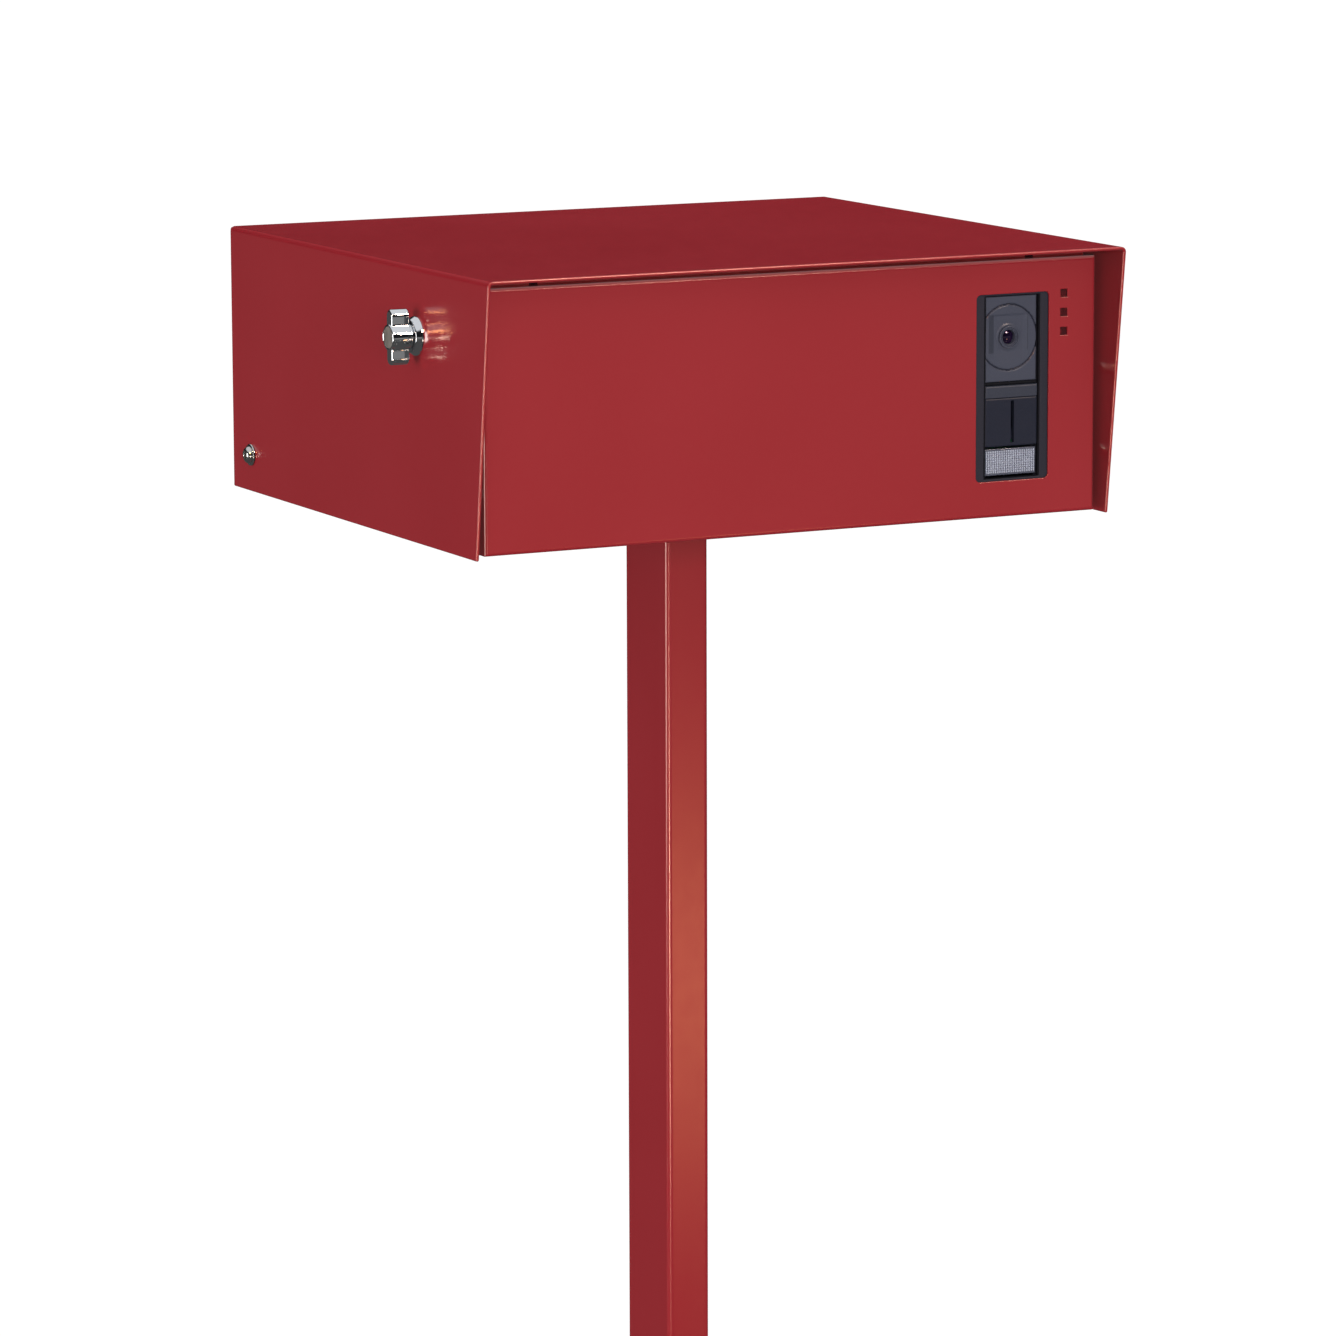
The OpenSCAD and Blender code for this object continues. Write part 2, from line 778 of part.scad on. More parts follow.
module intercom_case() {
  color("#1f2023")
  difference() {
    union() {
      difference() {
        prism_y(frame_back, case_back) translate([window_x, window_z]) round_rect(case_w, case_h, 4);
        prism_y(frame_back - bite, case_back - case_wall) translate([window_x, window_z])
          round_rect(case_w - 2*case_wall, case_h - 2*case_wall, 2);
      }
      for (c = corners(2*board_half_w - 8, 2*board_half_h - 8))
        rod_y(board_y + board_t, case_back - case_wall/2, window_x + c[0], window_z + c[1], boss_post_d);
    }
    for (s = [-1, 1])
      rod_y(case_back - case_wall - bite, case_back + bite, window_x + s*terminal_pitch/2,
            window_z - terminal_h, m4_d);
  }
}

module intercom_board() {
  color("#2f6b46")
  prism_y(board_y, board_y + board_t) translate([window_x, window_z])
    square([2*board_half_w, 2*board_half_h], center = true);
}

// a module plate of the column, w wide, from z0 to z1
module column_plate(w, z0, z1, y0, t) box(column_x - w/2, column_x + w/2, y0, y0 + t, z0, z1);

module camera_cover() {
  color("#4a4c55")
  difference() {
    column_plate(camera_w, camera_z0, camera_z1, cover_y, cover_t);
    rod_y(cover_y - bite, cover_y + cover_t + bite, lens_x, lens_z, ring_d + 0.2);
    difference() {
      rod_y(cover_y - bite, cover_y + relief_deep, lens_x, lens_z, 2*relief_r);
      rod_y(cover_y - 2*bite, cover_y + 2*relief_deep, lens_x, lens_z, 2*(relief_r - relief_w));
    }
  }
}

module camera_ring() {
  color("#26272b")
  difference() {
    rod_y(cover_y - 1.2, cover_y + cover_t + 1, lens_x, lens_z, ring_d);
    rod_y(cover_y - 2*bite, cover_y + cover_t + 2*bite, lens_x, lens_z, ring_bore);
    translate([lens_x, cover_y - 1.2 - 0.01, lens_z]) rotate([-90, 0, 0])
      cylinder(h = 1.6, d1 = ring_d - 2, d2 = ring_bore);
  }
}

module camera_barrel() {
  color("#101114")
  difference() {
    rod_y(cover_y + cover_t + 1, board_y, lens_x, lens_z, barrel_cam_d + 3);
    rod_y(cover_y + cover_t, cover_y + cover_t + 6, lens_x, lens_z, 8);
  }
}

// plano-convex front lens
module camera_lens() {
  r = (pow(lens_d/2, 2) + pow(lens_sag, 2)) / (2*lens_sag);
  y0 = cover_y + cover_t + 1;
  color([0.1, 0.1, 0.15, 0.6])
  intersection() {
    translate([lens_x, y0 - 1 - lens_sag + r, lens_z]) sphere(r);
    rod_y(y0 - 1 - lens_sag, y0, lens_x, lens_z, lens_d);
  }
}

module speaker_cover() {
  color(black_plastic)
  difference() {
    column_plate(speaker_w, speaker_z0, speaker_z1, speaker_y, speaker_t);
    box(column_x + slot_off - slot_w/2, column_x + slot_off + slot_w/2,
        speaker_y - bite, speaker_y + speaker_t + bite,
        speaker_z0 + slot_foot, speaker_z0 + slot_foot + slot_h);
  }
}

module speaker_driver() {
  y0 = speaker_y + speaker_t;
  z = (speaker_z0 + speaker_z1)/2;
  color("#17181a")
  difference() {
    union() {
      rod_y(y0, y0 + 3, column_x, z, driver_d);
      rod_y(y0 + 3, y0 + driver_h, column_x, z, driver_d*0.6);
    }
    translate([column_x, y0 - 0.01, z]) rotate([-90, 0, 0])
      cylinder(h = 2.4, d1 = driver_d - 4, d2 = driver_d*0.4);
  }
}

module call_button() {
  w = button_w/2;
  color("#c9cad4")
  union() {
    box(column_x - w, column_x + w, button_y, frame_back + touch, button_z0, button_z1);
    // a flange behind the frame keeps the button in
    box(column_x - w - 4, column_x + w + 4, frame_back + touch, frame_back + touch + button_flange,
        button_z0, button_z1);
    rod_y(frame_back + touch + button_flange, plunger_end - button_travel - touch,
          column_x, (button_z0 + button_z1)/2, plunger_d);
  }
}

module call_switch() {
  z = (button_z0 + button_z1)/2;
  color("#1a1a1c")
  box(column_x - switch_w/2, column_x + switch_w/2, plunger_end, board_y, z - switch_w/2 + 1, z + switch_w/2 - 1);
}

module terminal_block() {
  z = window_z - terminal_h;
  color("#d8d5c8")
  difference() {
    box(window_x - terminal_w/2, window_x + terminal_w/2, case_back, case_back + terminal_t,
        z - terminal_h/2, z + terminal_h/2);
    for (s = [-1, 1])
      rod_y(case_back - bite, case_back + terminal_t + bite, window_x + s*terminal_pitch/2, z, m4_d);
  }
}

module terminal_screws() {
  z = window_z - terminal_h;
  y = case_back + terminal_t;
  color(zinc)
  for (s = [-1, 1]) {
    rod_y(y, y + pan_head_h, window_x + s*terminal_pitch/2, z, pan_head_d);
    rod_y(case_back - case_wall, y, window_x + s*terminal_pitch/2, z, m4_d - 2*fit);
  }
}

module intercom_shield() {
  color(paint_inside)
  difference() {
    union() {
      box(shield_x0, shield_x1, panel_back, shield_y1, shield_z0, shield_z1);
      box(shield_x0 - shield_flange, shield_x1 + shield_flange, panel_back, panel_back + shield_t,
          shield_z0, shield_z1);
    }
    box(shield_x0 + shield_t, shield_x1 - shield_t, panel_back - bite, shield_y1 - shield_t,
        shield_z0 - bite, shield_z1 - shield_t);
    for (i = [2:5]) rod_y(panel_back - bite, panel_back + shield_t + bite,
                          stud_places[i][0], stud_places[i][1], m4_d + 0.4);
  }
}

foot_plate();
post();
head_plate();
head_bolts();
head_nuts();
cable_grommet();
tray();
front_panel();
panel_screws();
panel_rivet_nuts();
panel_studs();
stud_nuts();
rest_buffers();
keeper();
keeper_rivets();
pivot_bushes();
pivot_washers();
pivot_screws();
pivot_nuts();
intercom_frame();
intercom_case();
intercom_board();
camera_cover();
camera_ring();
camera_barrel();
camera_lens();
speaker_cover();
speaker_driver();
call_switch();
terminal_block();
terminal_screws();
intercom_shield();
hood();
latch_body();
latch_washer();
latch_nut();
wing_knob();
knob_cap();
latch_spindle();
latch_cam();
cam_screw();
call_button();
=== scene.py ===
"""Post-mounted letterbox with a door intercom: materials, detailed pieces, studio and camera.

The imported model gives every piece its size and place. Each class below dresses one
sub-assembly: sheet metal, latch, pivots, fasteners, intercom, call button and post.
"""
import json
import logging
import math
from dataclasses import dataclass
from enum import Enum
from typing import Callable, Iterable, Optional, Sequence

import bmesh
import bpy
from bpy.types import Material, Mesh, Node, NodeSocket, NodeTree, Object
from mathutils import Matrix, Vector

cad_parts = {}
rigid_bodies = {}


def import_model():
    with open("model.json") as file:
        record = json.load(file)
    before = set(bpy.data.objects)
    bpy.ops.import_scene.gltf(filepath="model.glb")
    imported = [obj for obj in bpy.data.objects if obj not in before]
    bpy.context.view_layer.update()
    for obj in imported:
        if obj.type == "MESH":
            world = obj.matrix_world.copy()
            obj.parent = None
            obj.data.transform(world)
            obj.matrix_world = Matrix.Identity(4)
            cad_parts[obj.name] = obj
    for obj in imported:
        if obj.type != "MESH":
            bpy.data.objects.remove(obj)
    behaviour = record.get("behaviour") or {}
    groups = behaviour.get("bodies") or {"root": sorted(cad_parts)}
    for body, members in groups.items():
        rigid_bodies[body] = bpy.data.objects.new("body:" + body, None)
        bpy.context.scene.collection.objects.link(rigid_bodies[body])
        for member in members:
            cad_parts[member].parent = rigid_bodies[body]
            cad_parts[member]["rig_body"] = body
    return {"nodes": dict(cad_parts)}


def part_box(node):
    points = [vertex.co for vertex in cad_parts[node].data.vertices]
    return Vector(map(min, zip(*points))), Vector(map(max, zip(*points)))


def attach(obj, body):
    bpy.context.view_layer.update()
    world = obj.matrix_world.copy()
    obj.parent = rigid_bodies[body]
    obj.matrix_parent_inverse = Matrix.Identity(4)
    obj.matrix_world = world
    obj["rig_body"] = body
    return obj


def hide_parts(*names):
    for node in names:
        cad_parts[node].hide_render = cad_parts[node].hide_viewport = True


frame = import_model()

logging.basicConfig(level=logging.INFO, format="%(name)s: %(message)s")
log = logging.getLogger("letterbox")

MM = 0.001
LEFT, RIGHT = (-1.0, 0.0, 0.0), (1.0, 0.0, 0.0)
FRONT, BACK, UP = (0.0, -1.0, 0.0), (0.0, 1.0, 0.0), (0.0, 0.0, 1.0)
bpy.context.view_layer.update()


# ---------------------------------------------------------------- small helpers


def linear(hex_colour: str) -> tuple[float, float, float, float]:
    """Turns an sRGB hex value into a linear colour.

    Args:
        hex_colour: six hex digits, with or without a leading '#'.

    Returns:
        Linear red, green and blue with an alpha of 1.
    """
    digits = hex_colour.lstrip("#")
    out = []
    for i in (0, 2, 4):
        c = int(digits[i : i + 2], 16) / 255
        out.append(c / 12.92 if c <= 0.04045 else ((c + 0.055) / 1.055) ** 2.4)
    return (out[0], out[1], out[2], 1.0)


def wire(tree: NodeTree, node: Node, links: dict) -> None:
    """Links output sockets to a node's inputs, by the inputs' names or indices."""
    for key, socket in links.items():
        tree.links.new(socket, node.inputs[key])


def add_node(
    tree: NodeTree,
    kind: str,
    values: Optional[dict] = None,
    links: Optional[dict] = None,
    **settings: object,
) -> Node:
    """Adds a node with its settings, socket values and incoming links.

    Args:
        tree: the node tree that takes the node.
        kind: the node's type name.
        values: input name or index to a constant.
        links: input name or index to an output socket.
        **settings: attributes of the node itself.

    Returns:
        The new node.
    """
    node = tree.nodes.new(kind)
    for key, value in settings.items():
        setattr(node, key, value)
    for key, value in (values or {}).items():
        node.inputs[key].default_value = value
    wire(tree, node, links or {})
    return node


def new_object(name: str, mesh: Mesh) -> Object:
    """Links a mesh into the scene as an object at the origin.

    Args:
        name: the piece's name.
        mesh: its mesh, with its place in its vertices.

    Returns:
        The new object.
    """
    mesh.name = name
    obj = bpy.data.objects.new(name, mesh)
    bpy.context.scene.collection.objects.link(obj)
    return obj


def smooth(mesh: Mesh, sharp_deg: float) -> Mesh:
    """Shades a mesh smooth, with the edges above an angle kept hard."""
    for poly in mesh.polygons:
        poly.use_smooth = True
    mesh.set_sharp_from_angle(angle=math.radians(sharp_deg))
    return mesh


def mesh_from(bm: bmesh.types.BMesh, name: str, sharp_deg: float = 35.0) -> Mesh:
    """Closes a bmesh into a mesh with outward normals and smooth faces.

    Args:
        bm: the finished bmesh, which is freed.
        name: the mesh's name.
        sharp_deg: edges sharper than this stay hard.

    Returns:
        The mesh.
    """
    bmesh.ops.recalc_face_normals(bm, faces=bm.faces)
    mesh = bpy.data.meshes.new(name)
    bm.to_mesh(mesh)
    bm.free()
    return smooth(mesh, sharp_deg)


def finished(obj: Object) -> Object:
    """Applies every modifier of a piece, so that a plain mesh is left.

    Args:
        obj: the piece with its modifiers.

    Returns:
        The same object with its evaluated mesh.
    """
    bpy.context.view_layer.update()
    graph = bpy.context.evaluated_depsgraph_get()
    mesh = bpy.data.meshes.new_from_object(obj.evaluated_get(graph))
    obj.modifiers.clear()
    obj.data = mesh
    return obj


def grown(obj: Object, tree: NodeTree, ids: dict[str, str], values: dict[str, object]) -> Object:
    """Runs a Geometry Nodes tree on a piece and keeps its result as a plain mesh.

    Args:
        obj: the piece.
        tree: the node tree.
        ids: the identifiers of the tree's inputs by name.
        values: what each input takes.

    Returns:
        The same object with the tree's mesh.
    """
    modifier = obj.modifiers.new(tree.name, "NODES")
    modifier.node_group = tree
    for key, value in values.items():
        modifier[ids[key]] = value
    return finished(obj)


def start_tree(name: str, inputs: dict[str, str]) -> tuple[NodeTree, Node, dict[str, str]]:
    """Starts a Geometry Nodes tree.

    Args:
        name: the tree's name.
        inputs: each input's name and its kind, such as "Float".

    Returns:
        The tree, its group input node and its inputs' identifiers by name.
    """
    tree = bpy.data.node_groups.new(name, "GeometryNodeTree")
    ids = {}
    for key, kind in inputs.items():
        socket = tree.interface.new_socket(key, in_out="INPUT", socket_type="NodeSocket" + kind)
        ids[key] = socket.identifier
    tree.interface.new_socket("Geometry", in_out="OUTPUT", socket_type="NodeSocketGeometry")
    return tree, add_node(tree, "NodeGroupInput"), ids


def repeated(tree: NodeTree, links: dict) -> NodeSocket:
    """Sets instances on points, as the links say, and makes them real."""
    placed = add_node(tree, "GeometryNodeInstanceOnPoints", links=links)
    return add_node(tree, "GeometryNodeRealizeInstances", links={0: placed.outputs[0]}).outputs[0]


def end_tree(tree: NodeTree, start: Node, geometry: NodeSocket) -> None:
    """Gives the geometry the tree's "Finish" and sends it out."""
    finish = {"Geometry": geometry, "Material": start.outputs["Finish"]}
    dressed = add_node(tree, "GeometryNodeSetMaterial", links=finish)
    add_node(tree, "NodeGroupOutput", links={0: dressed.outputs[0]})


def span(node: str) -> tuple[Vector, Vector, Vector]:
    """Lowest corner, highest corner and middle of a CAD node at rest."""
    lo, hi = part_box(node)
    return lo, hi, (lo + hi) / 2


def islands(node: str) -> list[tuple[Vector, Vector]]:
    """Boxes of the separate solids of a CAD node.

    Args:
        node: the node's name.

    Returns:
        One (lowest corner, highest corner) pair for each solid.
    """
    bm = bmesh.new()
    bm.from_mesh(frame["nodes"][node].data)
    bmesh.ops.remove_doubles(bm, verts=bm.verts, dist=1e-6)
    seen: set = set()
    boxes = []
    for start in bm.verts:
        if start in seen:
            continue
        seen.add(start)
        queue, found = [start], []
        while queue:
            vert = queue.pop()
            found.append(vert.co.copy())
            for edge in vert.link_edges:
                other = edge.other_vert(vert)
                if other not in seen:
                    seen.add(other)
                    queue.append(other)
        lo = Vector(min(c[k] for c in found) for k in range(3))
        hi = Vector(max(c[k] for c in found) for k in range(3))
        boxes.append((lo, hi))
    bm.free()
    return boxes


def body_of_node(node: str) -> str:
    """Name of the body that a CAD node belongs to."""
    return str(frame["nodes"][node]["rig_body"])


def take_over(piece: Object, material: Material, slot: str, *nodes: str) -> Object:
    """Dresses a detailed piece and lets it stand for its CAD nodes.

    Args:
        piece: the detailed piece.
        material: its material.
        slot: the record's material slot; not used.
        *nodes: the CAD nodes it stands for; the first gives its body.

    Returns:
        The piece.
    """
    if not piece.data.materials:
        piece.data.materials.append(material)
    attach(piece, body_of_node(nodes[0]))
    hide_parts(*nodes)
    log.info("%s stands for %s", piece.name, ", ".join(nodes))
    return piece


def add_trim(piece: Object, material: Material, slot: str, body: str) -> Object:
    """Dresses a piece that has no CAD node of its own and lets it ride on a body."""
    if not piece.data.materials:
        piece.data.materials.append(material)
    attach(piece, body)
    log.info("%s added on %s", piece.name, body)
    return piece


# ---------------------------------------------------------------- finishes


def begin(name: str, values: Optional[dict] = None) -> tuple[Material, NodeTree, Node]:
    """Starts a material.

    Args:
        name: the real finish's name.
        values: constants of the shader by input name.

    Returns:
        The material, its node tree and its Principled shader.
    """
    material = bpy.data.materials.new(name)
    material.use_nodes = True
    tree = material.node_tree
    tree.nodes.clear()
    shader = add_node(tree, "ShaderNodeBsdfPrincipled", values)
    add_node(tree, "ShaderNodeOutputMaterial", links={"Surface": shader.outputs[0]})
    return material, tree, shader


def grain(tree: NodeTree, size_mm: float, detail: float = 2.0) -> NodeSocket:
    """Noise whose features are about size_mm across, in object space.

    Args:
        tree: the material's tree.
        size_mm: real size of one feature.
        detail: octaves of the noise.

    Returns:
        The noise's factor socket.
    """
    coords = add_node(tree, "ShaderNodeTexCoord")
    noise = add_node(
        tree,
        "ShaderNodeTexNoise",
        values={"Scale": 1000.0 / size_mm, "Detail": detail, "Roughness": 0.55},
        links={"Vector": coords.outputs["Object"]},
    )
    return noise.outputs[0]


def remap(
    tree: NodeTree,
    source: NodeSocket,
    low: float = 0.0,
    high: float = 1.0,
    reach: tuple[float, float] = (0.3, 0.7),
    curve: str = "LINEAR",
) -> NodeSocket:
    """Spreads a value's range over low to high.

    Args:
        tree: the tree that takes the node.
        source: the value.
        low: result at the start of the range.
        high: result at its end.
        reach: the value's range; a noise's middle range if not given.
        curve: how the result runs between the ends.

    Returns:
        The result's socket.
    """
    ends = {"From Min": reach[0], "From Max": reach[1], "To Min": low, "To Max": high}
    return add_node(tree, "ShaderNodeMapRange", ends, {"Value": source}, interpolation_type=curve).outputs[0]


def blend_colours(tree: NodeTree, factor: NodeSocket, first: str, second: str) -> NodeSocket:
    """Mixes two sRGB hex colours by a factor."""
    node = add_node(tree, "ShaderNodeMix", data_type="RGBA", links={0: factor})
    node.inputs[6].default_value = linear(first)
    node.inputs[7].default_value = linear(second)
    return node.outputs[2]


def bumped(tree: NodeTree, shader: Node, *layers: tuple[NodeSocket, float, float]) -> None:
    """Gives a shader one bump over another.

    Args:
        tree: the material's tree.
        shader: the shader.
        *layers: height, strength and depth in mm of each bump, the lowest first.
    """
    normal = None
    for height, strength, depth_mm in layers:
        values = {"Strength": strength, "Distance": depth_mm * MM}
        links = {"Height": height, "Normal": normal} if normal else {"Height": height}
        normal = add_node(tree, "ShaderNodeBump", values, links).outputs[0]
    wire(tree, shader, {"Normal": normal})


def mixed(tree: NodeTree, factor: NodeSocket, first: NodeSocket, second: NodeSocket) -> NodeSocket:
    """Mixes two shaders: a factor of 0 shows the first, 1 the second."""
    return add_node(tree, "ShaderNodeMixShader", links={0: factor, 1: first, 2: second}).outputs[0]


@dataclass(frozen=True)
class PowderCoat:
    """Polyester powder coat on zinc-primed steel sheet.

    The stoved film flows out smooth, with a shallow orange peel a few millimetres
    across and a satin gloss. Red pigment near the surface warms what it mirrors, and
    the colour drifts slightly with the film's thickness.
    """

    name: str = "powder_coat_red_satin"
    colour: str = "#971f28"
    thin_film: str = "#9b232c"
    sheen_tint: str = "#ffe6d6"
    roughness: float = 0.2
    mirror: float = 1.0
    peel_mm: float = 2.4

    def build(self) -> Material:
        """Makes the material, with its orange peel over the powder's fine grain."""
        tint = linear(self.sheen_tint)
        material, tree, shader = begin(
            self.name, {"IOR": 1.5, "Specular IOR Level": self.mirror, "Specular Tint": tint}
        )
        drift = remap(tree, grain(tree, 140.0, 1.0))
        rough = grain(tree, 9.0, 3.0)
        links = {
            "Base Color": blend_colours(tree, drift, self.colour, self.thin_film),
            "Roughness": remap(tree, rough, self.roughness - 0.015, self.roughness + 0.02),
        }
        wire(tree, shader, links)
        peel, fine = grain(tree, self.peel_mm, 0.0), grain(tree, 0.5, 1.0)
        bumped(tree, shader, (peel, 0.08, 0.08), (fine, 0.05, 0.03))
        return material


class Plating(Enum):
    """Bare metals of the fittings: colour, roughness, grain in mm, grain strength."""

    CHROME = ("chromium_plate_polished", "#e6e8ea", 0.045, 6.0, 0.0)
    STAINLESS = ("stainless_steel_bright", "#cfcfcc", 0.16, 0.7, 0.08)
    ZINC = ("zinc_plate_clear_passivated", "#b7bcc2", 0.34, 0.9, 0.16)
    BLASTED = ("aluminium_bead_blasted", "#b5b2ab", 0.46, 0.28, 0.35)


@dataclass(frozen=True)
class BareMetal:
    """A metal surface: polished chromium, stainless steel, zinc plate or blasted aluminium.

    Chromium mirrors the studio; the others scatter it over a fine grain, and handling
    leaves a faint cloudiness in the gloss.
    """

    plating: Plating

    def build(self) -> Material:
        """Makes the material."""
        name, colour, roughness, size, strength = self.plating.value
        material, tree, shader = begin(name, {"Base Color": linear(colour), "Metallic": 1.0})
        cloud = remap(tree, grain(tree, 7.0, 3.0), roughness * 0.8, roughness * 1.35)
        wire(tree, shader, {"Roughness": cloud})
        if strength:
            bumped(tree, shader, (grain(tree, size, 2.0), strength, 0.06))
        return material


@dataclass(frozen=True)
class MouldedPlastic:
    """Injection-moulded plastic with a spark-eroded texture.

    The mould's texture gives a fine even pebble and breaks up the gloss.
    """

    name: str
    colour: str
    shade: str
    roughness: float = 0.42
    texture_mm: float = 0.45
    depth: float = 0.25
    gloss: float = 0.0
    mirror: float = 0.2

    def build(self) -> Material:
        """Makes the material."""
        values = {"IOR": 1.49, "Specular IOR Level": self.mirror}
        values.update({"Coat Weight": self.gloss, "Coat Roughness": 0.08})
        material, tree, shader = begin(self.name, values)
        pebble = grain(tree, self.texture_mm, 2.0)
        rough = grain(tree, 5.0, 3.0)
        links = {
            "Base Color": blend_colours(tree, remap(tree, pebble), self.colour, self.shade),
            "Roughness": remap(tree, rough, self.roughness - 0.04, self.roughness + 0.05),
        }
        wire(tree, shader, links)
        bumped(tree, shader, (pebble, self.depth, 0.04))
        return material


@dataclass(frozen=True)
class CoatedLens:
    """Optical glass with a magenta anti-reflection coat over a black lens barrel; the base colour turns
    purple towards grazing views as a painted reflection of the coat.
    """

    name: str = "optical_glass_coated"

    def build(self) -> Material:
        """Makes the material."""
        values = {"Roughness": 0.04, "IOR": 1.6, "Coat Weight": 1.0, "Coat Roughness": 0.02}
        material, tree, shader = begin(self.name, {**values, "Coat Tint": linear("#c9a2e8")})
        # Painted reflection: the base colour shifts from near black to purple towards grazing views.
        facing = add_node(tree, "ShaderNodeLayerWeight", values={"Blend": 0.35}).outputs["Facing"]
        wire(tree, shader, {"Base Color": blend_colours(tree, facing, "#131019", "#3b2747")})
        return material


@dataclass(frozen=True)
class RibbedAcrylic:
    """Clear acrylic button, prismatic on its face, over a pale diffuser.

    The prisms catch the light as a fine bright grid on a grey-lavender ground.
    """

    name: str = "acrylic_prismatic_pale"
    colour: str = "#b4b6c6"
    pale: str = "#c4c6d4"

    def build(self) -> Material:
        """Makes the material."""
        values = {"Roughness": 0.22, "IOR": 1.49, "Coat Weight": 0.6, "Coat Roughness": 0.06}
        values.update({"Subsurface Weight": 0.1, "Subsurface Scale": 0.002})
        values["Subsurface Radius"] = (0.8, 0.8, 1.0)
        material, tree, shader = begin(self.name, values)
        cloud = remap(tree, grain(tree, 11.0, 3.0))
        wire(tree, shader, {"Base Color": blend_colours(tree, cloud, self.colour, self.pale)})
        return material


class Palette:
    """Every finish of the letterbox, made once.

    A moulded plastic's numbers are its roughness, the size of its texture in mm, the
    texture's depth, the gloss over it and how much it mirrors.
    """

    def __init__(self) -> None:
        """Makes every finish."""
        self.paint = PowderCoat().build()
        self.paint_inside = PowderCoat(
            name="powder_coat_red_inside", colour="#8c2026", thin_film="#93252a", roughness=0.32
        ).build()
        self.chrome, self.stainless, self.zinc, self.satin_cap = (
            BareMetal(plating).build() for plating in Plating
        )
        black = ("#121317", "#191a1f")
        self.rubber = self.plastic("epdm_rubber_black", *black, 0.7, 0.6, 0.3, 0.0, 0.05)
        self.acetal = self.plastic("acetal_natural", "#dedbd0", "#e9e6dc", 0.35, 0.8, 0.1)
        self.frame_grey = self.plastic("asa_dark_grey_textured", "#26262f", "#2e2e38", 0.5, 0.5, 0.3)
        self.module_black = self.plastic("abs_black_fine_matt", "#20232f", "#262936", 0.4, 0.4, 0.2)
        smoke = ("#41434f", "#494b58")
        self.camera_grey = self.plastic("polycarbonate_smoke_grey", *smoke, 0.38, 0.5, 0.08, 0.05)
        self.header_grey = self.plastic("abs_charcoal_satin", "#363842", "#3e404b", 0.36, 0.4, 0.15)
        self.lens = CoatedLens().build()
        self.acrylic = RibbedAcrylic().build()
        self.acrylic_edge = RibbedAcrylic("acrylic_smoked_edge", "#4b4d5a", "#565865").build()
        self.board = self.plastic("fr4_green_solder_mask", "#1e5a37", "#2a6b45", 0.35, 1.5, 0.1, 0.4)
        self.terminal = self.plastic("nylon_ivory", "#cfcabb", "#dcd7c9", 0.45, 0.7, 0.15)

    @staticmethod
    def plastic(name: str, colour: str, shade: str, *numbers: float) -> Material:
        """Makes a moulded plastic from its name, two colours and numbers."""
        return MouldedPlastic(name, colour, shade, *numbers).build()


# ---------------------------------------------------------------- shapes


class Outline(Enum):
    """Cross-section of a turned piece's ring."""

    ROUND = "round"
    HEX = "hex"


@dataclass(frozen=True)
class Ring:
    """One ring of a turned piece: height, radius (half the flats for a hexagon) and outline, in mm."""

    at: float
    size: float
    outline: Outline = Outline.ROUND

    def points(self, count: int) -> list[Vector]:
        """The ring's points about +Z, in metres."""
        out = []
        for i in range(count):
            angle = 2 * math.pi * i / count
            radius = self.size
            if self.outline is Outline.HEX:
                radius /= math.cos((angle % (math.pi / 3)) - math.pi / 6)
            out.append(Vector((radius * math.cos(angle), radius * math.sin(angle), self.at)) * MM)
        return out


def arc(steps: int, end: float = math.pi / 2) -> list[float]:
    """Angles from 0 to end in even steps."""
    return [end * i / steps for i in range(steps + 1)]


def rings_of(*pairs: tuple[float, float], outline: Outline = Outline.ROUND) -> list[Ring]:
    """Rings of one outline from (height, radius) pairs in mm."""
    return [Ring(at, size, outline) for at, size in pairs]


def loft(bm: bmesh.types.BMesh, loops: Sequence[Sequence[bmesh.types.BMVert]], capped: bool = False) -> None:
    """Joins each loop of vertices to the next with quads.

    Args:
        bm: the bmesh.
        loops: loops with the same number of vertices; two in each make an open strip.
        capped: closes the first and the last loop.
    """
    count = len(loops[0])
    for low, high in zip(loops, loops[1:]):
        for i in range(count if count > 2 else 1):
            j = (i + 1) % count
            bm.faces.new((low[i], low[j], high[j], high[i]))
    if capped:
        bm.faces.new(list(reversed(loops[0])))
        bm.faces.new(loops[-1])


def turned(name: str, rings: Sequence[Ring], count: int = 72) -> Mesh:
    """Lofts rings about +Z into a closed mesh.

    Args:
        name: the mesh's name.
        rings: rings in order along the outline; the first and last are capped,
            unless they are the same ring, which closes a hollow piece.
        count: points in each ring.

    Returns:
        The mesh, about the origin.
    """
    bm = bmesh.new()
    hollow = rings[0] == rings[-1]
    kept = rings[:-1] if hollow else rings
    loops = [[bm.verts.new(p) for p in ring.points(count)] for ring in kept]
    loft(bm, loops + loops[:1] if hollow else loops, capped=not hollow)
    return mesh_from(bm, name)


def rounded(at: float, radius: float, edge: float, steps: int = 5) -> list[Ring]:
    """Rings of a rounded outer edge, from a piece's side up to its flat.

    Args:
        at: height of the flat.
        radius: full radius of the piece.
        edge: radius of the rounding.
        steps: rings in the quarter circle.

    Returns:
        The rings, from the side to the flat.
    """
    return [Ring(at - edge * (1 - math.sin(a)), radius - edge * (1 - math.cos(a))) for a in arc(steps)]


def turned_at(
    name: str, rings: Sequence[Ring], count: int, aim: Sequence[float], place: Sequence[float]
) -> Mesh:
    """A turned mesh with its axis along aim and its origin at a place."""
    mesh = turned(name, rings, count)
    turn = Vector(aim).to_track_quat("Z", "Y").to_matrix().to_4x4()
    mesh.transform(Matrix.Translation(place) @ turn)
    return mesh


